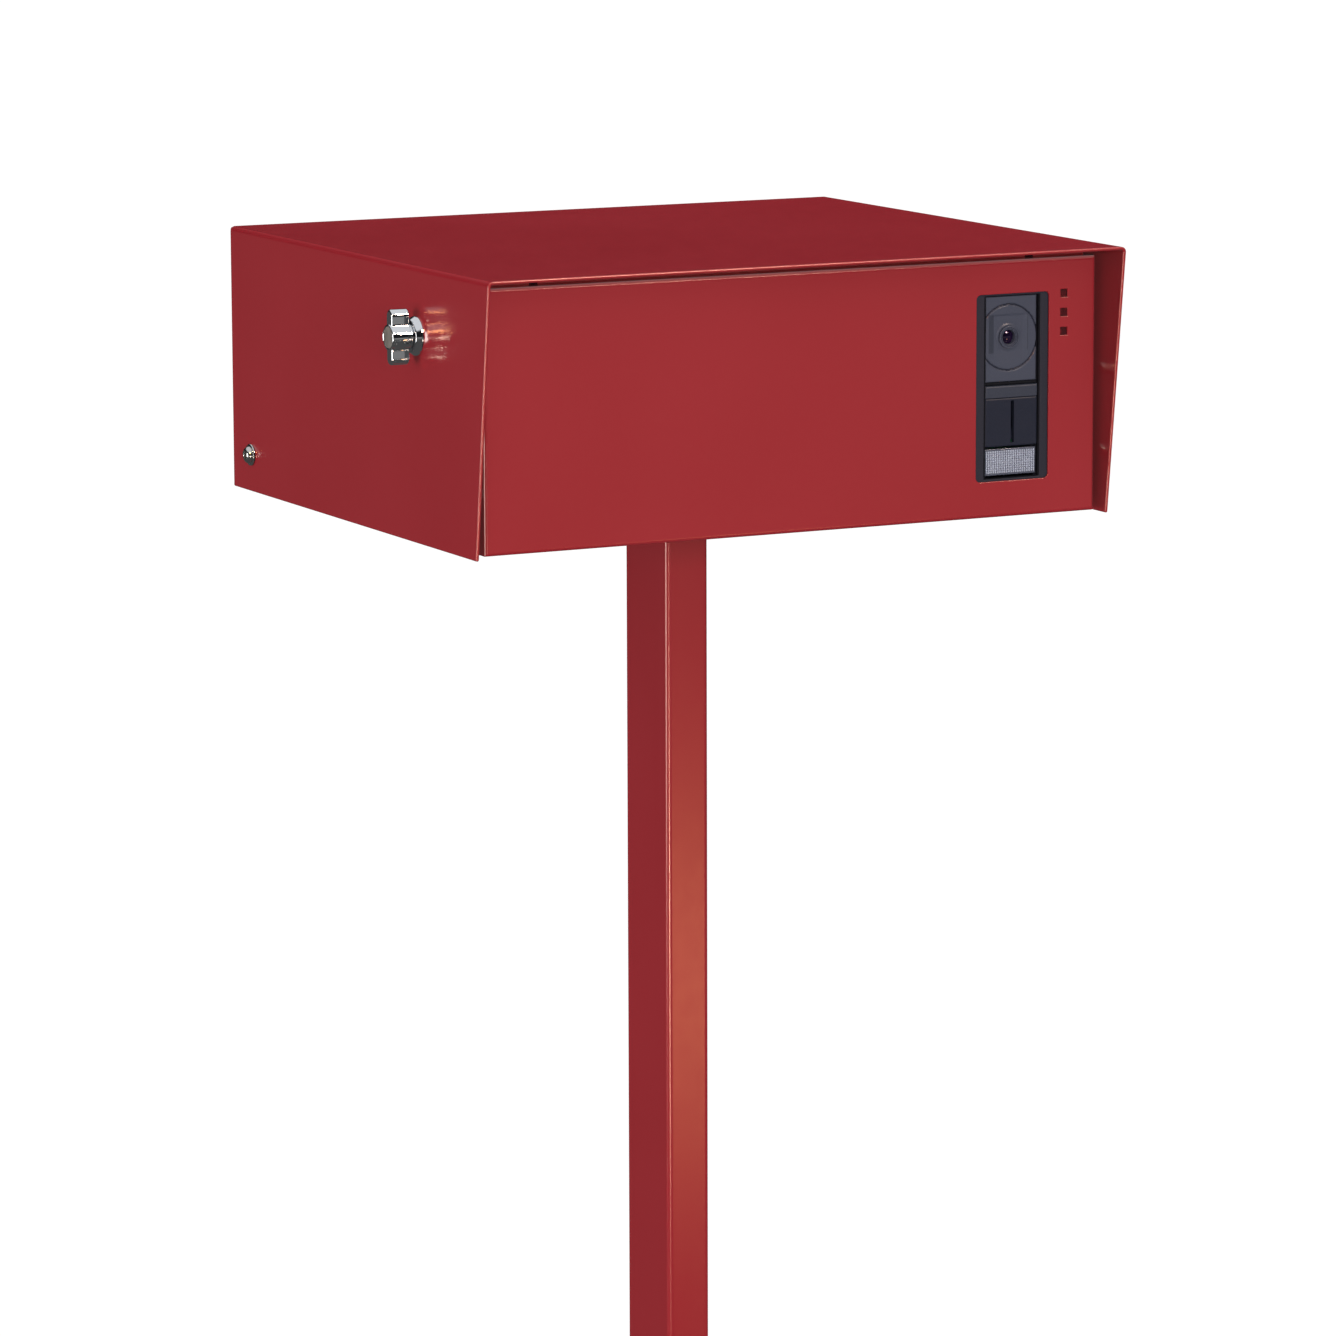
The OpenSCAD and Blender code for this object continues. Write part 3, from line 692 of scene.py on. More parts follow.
def softened(node: str, name: str, edge_mm: float = 0.45, segments: int = 3) -> Object:
    """Copies a CAD node with its flat faces joined and its sharp edges rounded.

    Args:
        node: the CAD node.
        name: the new piece's name.
        edge_mm: width of the rounding.
        segments: steps in the rounding.

    Returns:
        The new piece.
    """
    bm = bmesh.new()
    bm.from_mesh(frame["nodes"][node].data)
    bmesh.ops.remove_doubles(bm, verts=bm.verts, dist=2e-6)
    bmesh.ops.dissolve_limit(
        bm, angle_limit=math.radians(0.6), verts=bm.verts, edges=bm.edges, delimit=set()
    )
    obj = new_object(name, mesh_from(bm, name, 25.0))
    bevel = obj.modifiers.new("edge", "BEVEL")
    bevel.width = edge_mm * MM
    bevel.segments = segments
    bevel.limit_method = "ANGLE"
    bevel.angle_limit = math.radians(30)
    bevel.use_clamp_overlap = False
    flats = obj.modifiers.new("flats", "WEIGHTED_NORMAL")
    flats.weight = 100
    flats.keep_sharp = True
    return finished(obj)


def soften_each(finish: tuple[Material, str], *rows: tuple[str, str, float, int]) -> list[Object]:
    """Lets softened copies stand for CAD nodes.

    Args:
        finish: material and record slot of them all.
        *rows: CAD node, new piece's name, edge width in mm and steps of each.

    Returns:
        The new pieces.
    """
    return [take_over(softened(node, name, edge, steps), *finish, node) for node, name, edge, steps in rows]


# ---------------------------------------------------------------- sub-assemblies


@dataclass
class SheetMetal:
    """Folded and welded sheet: hood, front panel, tray, intercom shield and keeper."""

    palette: Palette
    edge_mm: float = 0.5
    rim_mm: float = 0.9

    def build(self) -> None:
        """Makes the painted sheet pieces."""
        paint, inside = (self.palette.paint, "red_paint"), (self.palette.paint_inside, "red_inside")
        hood = ("hood", "hood_shell", self.rim_mm, 4)
        panel = ("front_panel", "front_panel_skin", self.edge_mm, 4)
        tray = ("tray", "letter_tray", 0.35, 2)
        shield = ("intercom_shield", "intercom_cover_box", 0.35, 2)
        for sheet in soften_each(paint, hood, panel) + soften_each(inside, tray, shield):
            sheet.visible_glossy = False
        soften_each((self.palette.zinc, "zinc"), ("keeper", "latch_keeper", 0.25, 2))
        add_trim(self.lip(), *inside, "stand")
        # Painted shade: black gauze darkens the small holes beside the intercom.
        add_trim(self.gauze(), self.palette.rubber, "rubber_black", "stand")

    def holes(self) -> list[tuple[Vector, Vector]]:
        """Boxes of the small square holes beside the intercom, on the panel's face."""
        lo, hi, _ = span("front_panel")
        left, right = span("intercom_frame")[1].x + 2 * MM, hi.x - 8 * MM
        floor, apart, flat = lo.z + 10 * MM, 7 * MM, 0.05 * MM
        corners = [v.co.copy() for v in frame["nodes"]["front_panel"].data.vertices]
        corners = [c for c in corners if abs(c.y - lo.y) < flat and left < c.x < right and floor < c.z]
        found: list[list[Vector]] = []
        for corner in sorted(corners, key=lambda c: c.z):
            if found and corner.z - found[-1][0].z < apart:
                found[-1].append(corner)
            else:
                found.append([corner])
        return [
            tuple(Vector(pick(c[k] for c in group) for k in range(3)) for pick in (min, max))
            for group in found
            if len(group) > 3
        ]

    def gauze(self) -> Object:
        """Black woven gauze across the back of each small hole: a dark sheet that paints the shade inside the
        holes.
        """
        wire_r, pitch, depth, over, clear = (v * MM for v in (0.13, 0.8, 1.2, 0.1, 0.05))
        bm = bmesh.new()
        for lo, hi in self.holes():
            for axis, other, y in ((0, 2, lo.y + depth), (2, 0, lo.y + depth + over)):
                count = int((hi[axis] - lo[axis]) / pitch) + 1
                for i in range(count):
                    at = lo[axis] + (hi[axis] - lo[axis]) * (i + 0.5) / count
                    rails = []
                    for end in (lo[other] + clear, hi[other] - clear):
                        ring = []
                        for a in arc(6, 2 * math.pi)[:-1]:
                            point = Vector((0, y + wire_r * math.sin(a), 0))
                            point[axis], point[other] = at + wire_r * math.cos(a), end
                            ring.append(bm.verts.new(point))
                        rails.append(ring)
                    loft(bm, rails, capped=True)
        return new_object("hole_gauze", mesh_from(bm, "hole_gauze"))

    def lip(self) -> Object:
        """Folded lip on the front panel's top flange, behind the gap under the roof."""
        lo, hi, mid = span("front_panel")
        half = (hi.x - lo.x) / 2 - 0.5 * MM
        roof = span("hood")[1].z - 2.0 * MM
        base, top = hi.z - 0.6 * MM, roof - 0.5 * MM
        fold = 0.3 * MM
        front = lo.y + 15.0 * MM
        back = front + 0.8 * MM
        outline = [(front, base), (front, top - fold), (front + fold, top)]
        outline += [(back - fold, top), (back, top - fold), (back, base)]
        bm = bmesh.new()
        ends = [[bm.verts.new((mid.x + side * half, y, z)) for y, z in outline] for side in (-1, 1)]
        loft(bm, ends, capped=True)
        return new_object("panel_top_lip", mesh_from(bm, "panel_top_lip"))


@dataclass
class PostAndFoot:
    """Rectangular tube with its welded foot and head plates, and the painted weld beads."""

    palette: Palette
    bead_mm: float = 2.6
    pitch_mm: float = 2.2
    seed: int = 11

    def build(self) -> None:
        """Makes the tube, the plates and the welds."""
        paint = (self.palette.paint, "red_paint")
        rows = (("post", "post_tube", 0.5), ("foot_plate", "foot_plate_steel", 0.9))
        rows += (("head_plate", "head_plate_steel", 0.6),)
        soften_each(paint, *((*row, 3) for row in rows))
        lo, hi, _ = span("post")
        for bead in [self.weld("weld_foot", lo.z, 1), self.weld("weld_head", hi.z, -1)]:
            add_trim(bead, *paint, "stand")

    def path(self, z: float, up: int) -> Object:
        """Closed curve round the tube where it meets a plate.

        Args:
            z: height of the plate's face.
            up: +1 where the tube stands on the plate, -1 where it hangs under it.

        Returns:
            A curve object, to be used by the weld and then removed.
        """
        lo, hi, mid = span("post")
        corner, off, rise, steps = 4.2 * MM, 0.3 * MM, 0.6 * MM, 6
        half_x, half_y = (hi.x - lo.x) / 2 + off, (hi.y - lo.y) / 2 + off
        points = []
        for quarter, (sx, sy) in enumerate(((1, 1), (-1, 1), (-1, -1), (1, -1))):
            for a in arc(steps):
                angle = math.pi / 2 * quarter + a
                x = mid.x + sx * (half_x - corner) + corner * math.cos(angle)
                y = mid.y + sy * (half_y - corner) + corner * math.sin(angle)
                points.append((x, y, z + up * rise, 1.0))
        curve = bpy.data.curves.new("weld_path", "CURVE")
        curve.dimensions = "3D"
        spline = curve.splines.new("POLY")
        spline.points.add(len(points) - 1)
        for point, place in zip(spline.points, points):
            point.co = place
        spline.use_cyclic_u = True
        obj = bpy.data.objects.new("weld_path", curve)
        bpy.context.scene.collection.objects.link(obj)
        return obj

    def weld(self, name: str, z: float, up: int) -> Object:
        """Lays overlapping weld ripples along the joint.

        Args:
            name: the bead's name.
            z: height of the plate's face.
            up: +1 or -1, the side of the plate that the tube is on.

        Returns:
            The bead as a plain mesh.
        """
        guide = self.path(z, up)
        inputs = {"Joint": "Object", "Ripple pitch": "Float", "Bead radius": "Float", "Finish": "Material"}
        tree, start, ids = start_tree("weld_bead", inputs)
        joint = {"Object": start.outputs["Joint"]}
        info = add_node(tree, "GeometryNodeObjectInfo", links=joint, transform_space="RELATIVE")
        along = {"Curve": info.outputs["Geometry"], "Length": start.outputs["Ripple pitch"]}
        steps = add_node(tree, "GeometryNodeCurveToPoints", links=along, mode="LENGTH")
        ball = add_node(
            tree,
            "GeometryNodeMeshUVSphere",
            values={"Segments": 12, "Rings": 8},
            links={"Radius": start.outputs["Bead radius"]},
        )
        wobble = add_node(
            tree,
            "FunctionNodeRandomValue",
            data_type="FLOAT_VECTOR",
            values={0: (0.92, 0.92, 0.92), 1: (1.08, 1.08, 1.08), "Seed": self.seed},
        )
        ripples = repeated(
            tree,
            {
                "Points": steps.outputs["Points"],
                "Instance": ball.outputs["Mesh"],
                "Rotation": steps.outputs["Rotation"],
                "Scale": wobble.outputs[0],
            },
        )
        end_tree(tree, start, add_node(tree, "GeometryNodeSetShadeSmooth", links={0: ripples}).outputs[0])
        values = {"Joint": guide, "Ripple pitch": self.pitch_mm * MM, "Bead radius": self.bead_mm * MM}
        values["Finish"] = self.palette.paint
        bead = grown(new_object(name, bpy.data.meshes.new(name)), tree, ids, values)
        bpy.data.objects.remove(guide)
        return bead


@dataclass
class WingKnobLatch:
    """Chromed wing knob with its satin cap, collar, nut, spindle and cam."""

    palette: Palette
    face_round_mm: float = 1.3
    back_round_mm: float = 0.7
    wing_half_mm: float = 4.3
    fillet_mm: float = 3.0

    def build(self) -> None:
        """Makes the knob and the latch."""
        chrome = (self.palette.chrome, "bright_chrome")
        take_over(self.knob(), *chrome, "wing_knob")
        take_over(self.cap(), self.palette.satin_cap, "cap_satin", "knob_cap")
        take_over(self.collar(), *chrome, "latch_body")
        soften_each(
            (self.palette.zinc, "zinc"),
            ("latch_spindle", "spindle_steel", 0.25, 2),
            ("latch_cam", "cam_steel", 0.25, 2),
            ("latch_nut", "latch_nut_steel", 0.3, 2),
            ("latch_washer", "latch_washer_steel", 0.15, 2),
            ("cam_screw", "cam_screw_steel", 0.25, 2),
        )

    def outline(self, boss_mm: float, span_mm: float) -> list[tuple[Vector, Vector]]:
        """Points and outward normals of the two-winged outline, in mm about the axis.

        Args:
            boss_mm: radius of the centre boss.
            span_mm: half of the tip to tip span.

        Returns:
            (point, normal) pairs, anticlockwise.
        """
        wing, fillet = self.wing_half_mm, self.fillet_mm
        tip = span_mm - wing
        fy = wing + fillet
        fz = math.sqrt((boss_mm + fillet) ** 2 - fy**2)
        touch = math.atan2(fz, fy)
        boss = [self.heading(a) for a in arc(8, touch)]
        hollow = [self.heading(touch + math.pi - a) for a in arc(8, touch)[1:]]
        quarter = [(n * boss_mm, n) for n in boss]
        quarter += [(Vector((fy, fz)) + n * fillet, -n) for n in hollow]
        quarter += [(Vector((wing, fz + (tip - fz) * i / 5)), Vector((1, 0))) for i in range(1, 5)]
        quarter += [(Vector((0, tip)) + self.heading(a) * wing, self.heading(a)) for a in arc(12)]
        upper = quarter + [(Vector((-p.x, p.y)), Vector((-n.x, n.y))) for p, n in reversed(quarter[:-1])]
        lower = [(-p, -n) for p, n in upper[1:-1]]
        return upper + lower

    @staticmethod
    def heading(angle: float) -> Vector:
        """Unit vector at an angle."""
        return Vector((math.cos(angle), math.sin(angle)))

    def knob(self) -> Object:
        """The wings, with a rounded front, the boss ring and the neck."""
        lo, hi, _ = span("wing_knob")
        cap_lo, cap_hi, _ = span("knob_cap")
        axis = span("latch_body")[2]
        boss = (hi.y - lo.y) / 2 / MM
        points = self.outline(boss, (hi.z - lo.z) / 2 / MM)
        face, back = lo.x + 1.0 * MM, hi.x - 1.5 * MM
        bm = bmesh.new()
        loops = []
        for x, inset in self.profile(face, back):
            places = [(p - n * inset) * MM for p, n in points]
            loops.append([bm.verts.new((x, axis.y + place.x, axis.z + place.y)) for place in places])
        loft(bm, loops, capped=True)
        wings = mesh_from(bm, "wings", 40)
        cap_r = (cap_hi.y - cap_lo.y) / 2 / MM + 0.1
        depth, boss_len = (cap_hi.x - lo.x) / MM, (back - lo.x) / MM
        rings = rings_of((0.0, boss - 0.6)) + rounded(boss_len, boss, 0.9)
        rings += rings_of((boss_len, cap_r + 0.25), (boss_len - 0.2, cap_r), (boss_len - depth, cap_r))
        boss_ring = turned_at("boss", rings, 96, LEFT, (back, axis.y, axis.z))
        neck = turned_at("neck", rings_of((0.0, 7.5), (1.6, 7.5)), 72, LEFT, (hi.x, axis.y, axis.z))
        return self.merged("wing_knob_cast", [wings, boss_ring, neck])

    def profile(self, face: float, back: float) -> list[tuple[float, float]]:
        """Layers of the wings from the front to the back.

        Args:
            face: the wings' front, in metres.
            back: the wings' back, in metres.

        Returns:
            (x in metres, inset in mm) pairs.
        """
        front_r, back_r = self.face_round_mm, self.back_round_mm
        layers = [(face + front_r * MM * (1 - math.cos(a)), front_r * (1 - math.sin(a))) for a in arc(6)]
        layers += [(back - back_r * MM * (1 - math.sin(a)), back_r * (1 - math.cos(a))) for a in arc(6)]
        return layers

    def merged(self, name: str, parts: Iterable[Mesh]) -> Object:
        """Joins meshes into one piece."""
        bm = bmesh.new()
        for part in parts:
            bm.from_mesh(part)
        mesh = bpy.data.meshes.new(name)
        bm.to_mesh(mesh)
        bm.free()
        return new_object(name, smooth(mesh, 40))

    def cap(self) -> Object:
        """Satin disc let into the boss, slightly crowned."""
        lo, hi, mid = span("knob_cap")
        crown, radius = 0.25, (hi.y - lo.y) / 2 / MM
        flat = (hi.x - lo.x) / MM - crown
        rings = rings_of((0.0, radius - 0.05)) + rounded(flat, radius, 0.3)
        rings += [Ring(flat + crown * (1 - (r / radius) ** 2), r) for r in (5.6, 4.4, 3.0, 1.5, 0.2)]
        name = "knob_cap_disc"
        return new_object(name, turned_at(name, rings, 96, LEFT, (hi.x, mid.y, mid.z)))

    def collar(self) -> Object:
        """Conical chromed collar against the hood, with the threaded barrel behind it."""
        lo, hi, mid = span("latch_body")
        plate = span("hood")[0].x
        out = (plate - lo.x) / MM
        back = (hi.x - lo.x) / MM - out
        bore, barrel, pitch, thread = 4.6, 9.0, 1.5, 0.45
        rim = (hi.y - lo.y) / 2 / MM
        nose = rim - 1.8
        rings = rings_of((-back, bore), (-back, barrel - 0.5), (-back + 0.5, barrel))
        for i in range(int((back - 1.0) / pitch)):
            z = -back + 0.8 + pitch * i
            rings += rings_of((z, barrel), (z + 0.6, barrel - thread), (z + 0.9, barrel - thread))
        rings += rings_of((-0.02, barrel), (0.0, rim - 0.2), (0.15, rim), (0.9, rim), (1.15, rim - 0.2))
        rings += rings_of((out - 0.7, nose + 0.15), (out - 0.3, nose - 0.1), (out, nose - 0.6))
        rings += rings_of((out, bore + 0.3), (out - 0.3, bore), (-back, bore))
        name = "latch_collar"
        return new_object(name, turned_at(name, rings, 96, LEFT, (plate, mid.y, mid.z)))


@dataclass
class Fasteners:
    """Repeated screws, nuts, studs and rivets, set out at the places of the CAD solids."""

    palette: Palette
    seed: int = 5

    def build(self) -> None:
        """Makes every set of fasteners."""
        zinc, steel = (self.palette.zinc, "zinc"), (self.palette.stainless, "stainless")
        acetal = (self.palette.acetal, "bush_plastic")
        self.lay("head_bolts", "head_bolt_set", self.hex_bolt(10, 4, 6, 12.6), UP, zinc, "hi")
        self.lay("head_nuts", "head_nut_set", self.hex_nut(10, 5, 6.1), UP, zinc, "lo")
        self.lay("pivot_nuts", "pivot_nut_set", self.hex_nut(10, 5, 6.1), RIGHT, zinc, "lo")
        self.lay("stud_nuts", "stud_nut_set", self.hex_nut(7, 3.2, 4.1), BACK, zinc, "lo")
        self.lay("panel_studs", "panel_stud_set", self.stud(4, 8), BACK, zinc, "lo")
        self.lay("panel_rivet_nuts", "rivet_nut_set", self.rivet_nut(), None, zinc, "out")
        self.lay("panel_screws", "panel_screw_set", self.pan_screw(8, 2.4, 4, 12, 2.5), None, steel, "out")
        self.lay("pivot_screws", "pivot_screw_set", self.button_screw(), None, steel, "out")
        self.lay("pivot_washers", "pivot_washer_set", self.washer(7, 3.05, 1.2), None, steel, "out")
        self.lay("pivot_bushes", "pivot_bush_set", self.bush(), None, acetal, "out")
        self.lay("keeper_rivets", "keeper_rivet_set", self.rivet(), None, steel, "out")
        screw = self.pan_screw(8, 2.4, 3.9, 11, 2.2)
        self.lay("terminal_screws", "terminal_screw_set", screw, BACK, zinc, "hi")

    @staticmethod
    def shank(head: float, length: float, radius: float, chamfer: float) -> list[Ring]:
        """Rings of a plain shank, from its chamfered end up to the head's underside."""
        end = -head - length
        return rings_of((end, radius - chamfer), (end + chamfer, radius), (-head, radius))

    @staticmethod
    def hex_bolt(flats: float, head: float, shank: float, length: float) -> Mesh:
        """Hexagon bolt with a chamfered head, head's top at 0, shank downwards."""
        half = flats / 2
        rings = Fasteners.shank(head, length, shank / 2, 0.6) + rings_of((-head, half - 0.2))
        rings += rings_of((-head + 0.3, half), (-0.7, half), outline=Outline.HEX)
        rings += rings_of((0.0, half - 0.3), (0.0, half - 1.2), (-0.15, half - 1.6))
        return turned("hex_bolt", rings)

    @staticmethod
    def hex_nut(flats: float, height: float, bore: float) -> Mesh:
        """Hexagon nut with chamfers on both faces, from 0 upwards."""
        half, inner, cut = flats / 2, bore / 2, 0.4
        rings = rings_of((cut, inner), (0.0, inner + cut), (0.0, half - 0.3))
        rings += rings_of((0.5, half), (height - 0.5, half), outline=Outline.HEX)
        rings += rings_of((height, half - 0.3), (height, inner + cut), (height - cut, inner), (cut, inner))
        return turned("hex_nut", rings)

    @staticmethod
    def stud(diameter: float, length: float) -> Mesh:
        """Weld stud with a rolled thread, from 0 upwards."""
        r, pitch, thread = diameter / 2, 0.7, 0.22
        rings = rings_of((0.0, r))
        for i in range(int((length - 1) / pitch)):
            z = 0.3 + i * pitch
            rings += rings_of((z, r), (z + pitch / 2, r - thread))
        rings += rings_of((length - 0.4, r), (length, r - 0.4))
        return turned("weld_stud", rings, 36)

    @staticmethod
    def pan_screw(head_d: float, head: float, shank: float, length: float, key: float) -> Mesh:
        """Pan-head screw with a hexagon recess, head's top at 0."""
        r, inner, brim = head_d / 2, key / 2, 0.3
        rings = Fasteners.shank(head, length, shank / 2, 0.5)
        rings += rings_of((-head, r - 0.2), (-head + brim, r))
        for a in arc(5)[1:]:
            rings.append(Ring(-head + brim + (head - brim) * math.sin(a), r - 1.3 * (1 - math.cos(a))))
        rings += rings_of((0.0, inner + 0.35))
        rings += rings_of((-0.2, inner), (-1.3, inner), outline=Outline.HEX) + rings_of((-1.5, 0.2))
        return turned("pan_screw", rings)

    @staticmethod
    def button_screw() -> Mesh:
        """Button-head socket screw: domed head with a hexagon socket, head's top at 0."""
        lo, hi = max(islands("pivot_screws"), key=lambda b: b[1].x)
        length = (hi.x - lo.x) / MM
        head, r, key, brim, dome = 3.3, 5.5, 2.0, 0.25, math.radians(66)
        rings = Fasteners.shank(head, length - head, 3.0, 0.6)
        rings += rings_of((-head, r - 0.3), (-head + brim, r))
        for a in arc(7, dome)[1:]:
            rise = math.sin(a) / math.sin(dome)
            inward = 0.42 * (1 - math.cos(a)) / (1 - math.cos(dome))
            rings.append(Ring(-head + brim + (head - brim) * rise, r * (1 - inward)))
        rings += rings_of((-0.02, key + 0.5))
        rings += rings_of((-0.25, key), (-1.9, key), outline=Outline.HEX) + rings_of((-2.3, 0.3))
        return turned("button_screw", rings, 96)

    @staticmethod
    def washer(outer: float, bore: float, thick: float) -> Mesh:
        """Flat washer with rounded stamped edges, outer face at 0."""
        rings = rings_of((-thick + 0.2, bore), (-thick, bore + 0.2), (-thick, outer - 0.35))
        rings += rings_of((-thick + 0.35, outer), (-0.35, outer), (-0.1, outer - 0.12), (0.0, outer - 0.4))
        rings += rings_of((0.0, bore + 0.2), (-0.2, bore), (-thick + 0.2, bore))
        return turned("flat_washer", rings, 96)

    @staticmethod
    def bush() -> Mesh:
        """Shouldered bush that the hood turns on, outer end at 0."""
        lo, hi = max(islands("pivot_bushes"), key=lambda b: b[1].x)
        end = -(hi.x - lo.x) / MM
        outer, neck, neck_r, bore = 8.0, 2.4, 5.0, 3.1
        rings = rings_of((end, bore), (end, outer - 0.3), (end + 0.3, outer), (-neck - 0.3, outer))
        rings += rings_of((-neck, outer - 0.3), (-neck, neck_r), (-0.2, neck_r), (0.0, neck_r - 0.2))
        rings += rings_of((0.0, bore), (end, bore))
        return turned("shoulder_bush", rings, 72)

    @staticmethod
    def rivet_nut() -> Mesh:
        """Rivet nut, flange side at 0."""
        rings = rings_of((0.0, 2.1), (0.0, 2.7), (-0.2, 2.9), (-1.6, 2.9), (-1.6, 4.0), (-2.2, 4.0))
        rings += rings_of((-4.2, 3.9), (-4.6, 2.9), (-9.4, 2.9), (-9.6, 2.7), (-9.6, 2.1), (0.0, 2.1))
        return turned("rivet_nut", rings, 48)

    @staticmethod
    def rivet() -> Mesh:
        """Blind rivet with a domed head and its set tail, head's top at 0."""
        rings = rings_of((-5.7, 1.0), (-5.6, 2.4), (-5.1, 3.0), (-4.7, 3.0), (-4.7, 2.0), (-1.5, 2.0))
        rings += rings_of((-1.5, 3.3), (-1.3, 3.5))
        rings += [Ring(-1.3 + 1.2 * math.sin(a), 3.5 - 2.3 * (1 - math.cos(a))) for a in arc(5)[1:]]
        rings += rings_of((-0.1, 1.1), (-0.5, 1.0), (-0.5, 0.2))
        return turned("blind_rivet", rings, 48)

    def tree(self) -> tuple[NodeTree, dict[str, str]]:
        """Node tree that sets one fastener on every point and spins each a little.

        Returns:
            The tree and its inputs' identifiers by name.
        """
        inputs = {"Geometry": "Geometry", "Fastener": "Object", "Size": "Float"}
        inputs.update({"Largest spin": "Float", "Finish": "Material"})
        tree, start, ids = start_tree("fastener_set", inputs)
        source = add_node(tree, "GeometryNodeObjectInfo", links={"Object": start.outputs["Fastener"]})
        axis = add_node(
            tree, "GeometryNodeInputNamedAttribute", data_type="FLOAT_VECTOR", values={"Name": "outward"}
        )
        aim = add_node(
            tree, "FunctionNodeAlignRotationToVector", axis="Z", links={"Vector": axis.outputs["Attribute"]}
        )
        spin = add_node(
            tree,
            "FunctionNodeRandomValue",
            data_type="FLOAT",
            values={"Seed": self.seed},
            links={3: start.outputs["Largest spin"]},
        )
        turn = add_node(tree, "ShaderNodeCombineXYZ", links={"Z": spin.outputs[1]})
        spun = add_node(
            tree,
            "FunctionNodeRotateRotation",
            rotation_space="LOCAL",
            links={"Rotation": aim.outputs[0], "Rotate By": turn.outputs[0]},
        )
        links = {"Points": start.outputs["Geometry"], "Instance": source.outputs["Geometry"]}
        links.update({"Rotation": spun.outputs[0], "Scale": start.outputs["Size"]})
        end_tree(tree, start, repeated(tree, links))
        return tree, ids

    def lay(
        self,
        node: str,
        name: str,
        shape: Mesh,
        outward: Optional[tuple[float, float, float]],
        finish: tuple[Material, str],
        seat: str,
    ) -> None:
        """Sets a fastener at each solid of a CAD node.

        Args:
            node: the CAD node with the group of fasteners.
            name: the new piece's name.
            shape: one fastener, about the origin along +Z.
            outward: direction of them all, or None for away from the middle, to the sides.
            finish: material and record slot.
            seat: which end the shape's origin takes: "lo", "hi" or "out".
        """
        mesh = bpy.data.meshes.new(name)
        places, aims = [], []
        for lo, hi in islands(node):
            place = (lo + hi) / 2
            aim = outward or (RIGHT if place.x > 0 else LEFT)
            for k in range(3):
                if aim[k]:
                    place[k] = hi[k] if seat == "hi" or (seat == "out" and aim[k] > 0) else lo[k]
            places.append(place)
            aims.extend(aim)
        mesh.from_pydata(places, [], [])
        mesh.attributes.new("outward", "FLOAT_VECTOR", "POINT").data.foreach_set("vector", aims)
        source = new_object("one_" + name, shape)
        group = new_object(name, mesh)
        tree, ids = self.tree()
        values = {"Fastener": source, "Size": 1.0, "Finish": finish[0]}
        grown(group, tree, ids, {**values, "Largest spin": 0.0 if seat == "lo" else 1.0})
        smooth(group.data, 35)
        bpy.data.objects.remove(source)
        take_over(group, *finish, node)


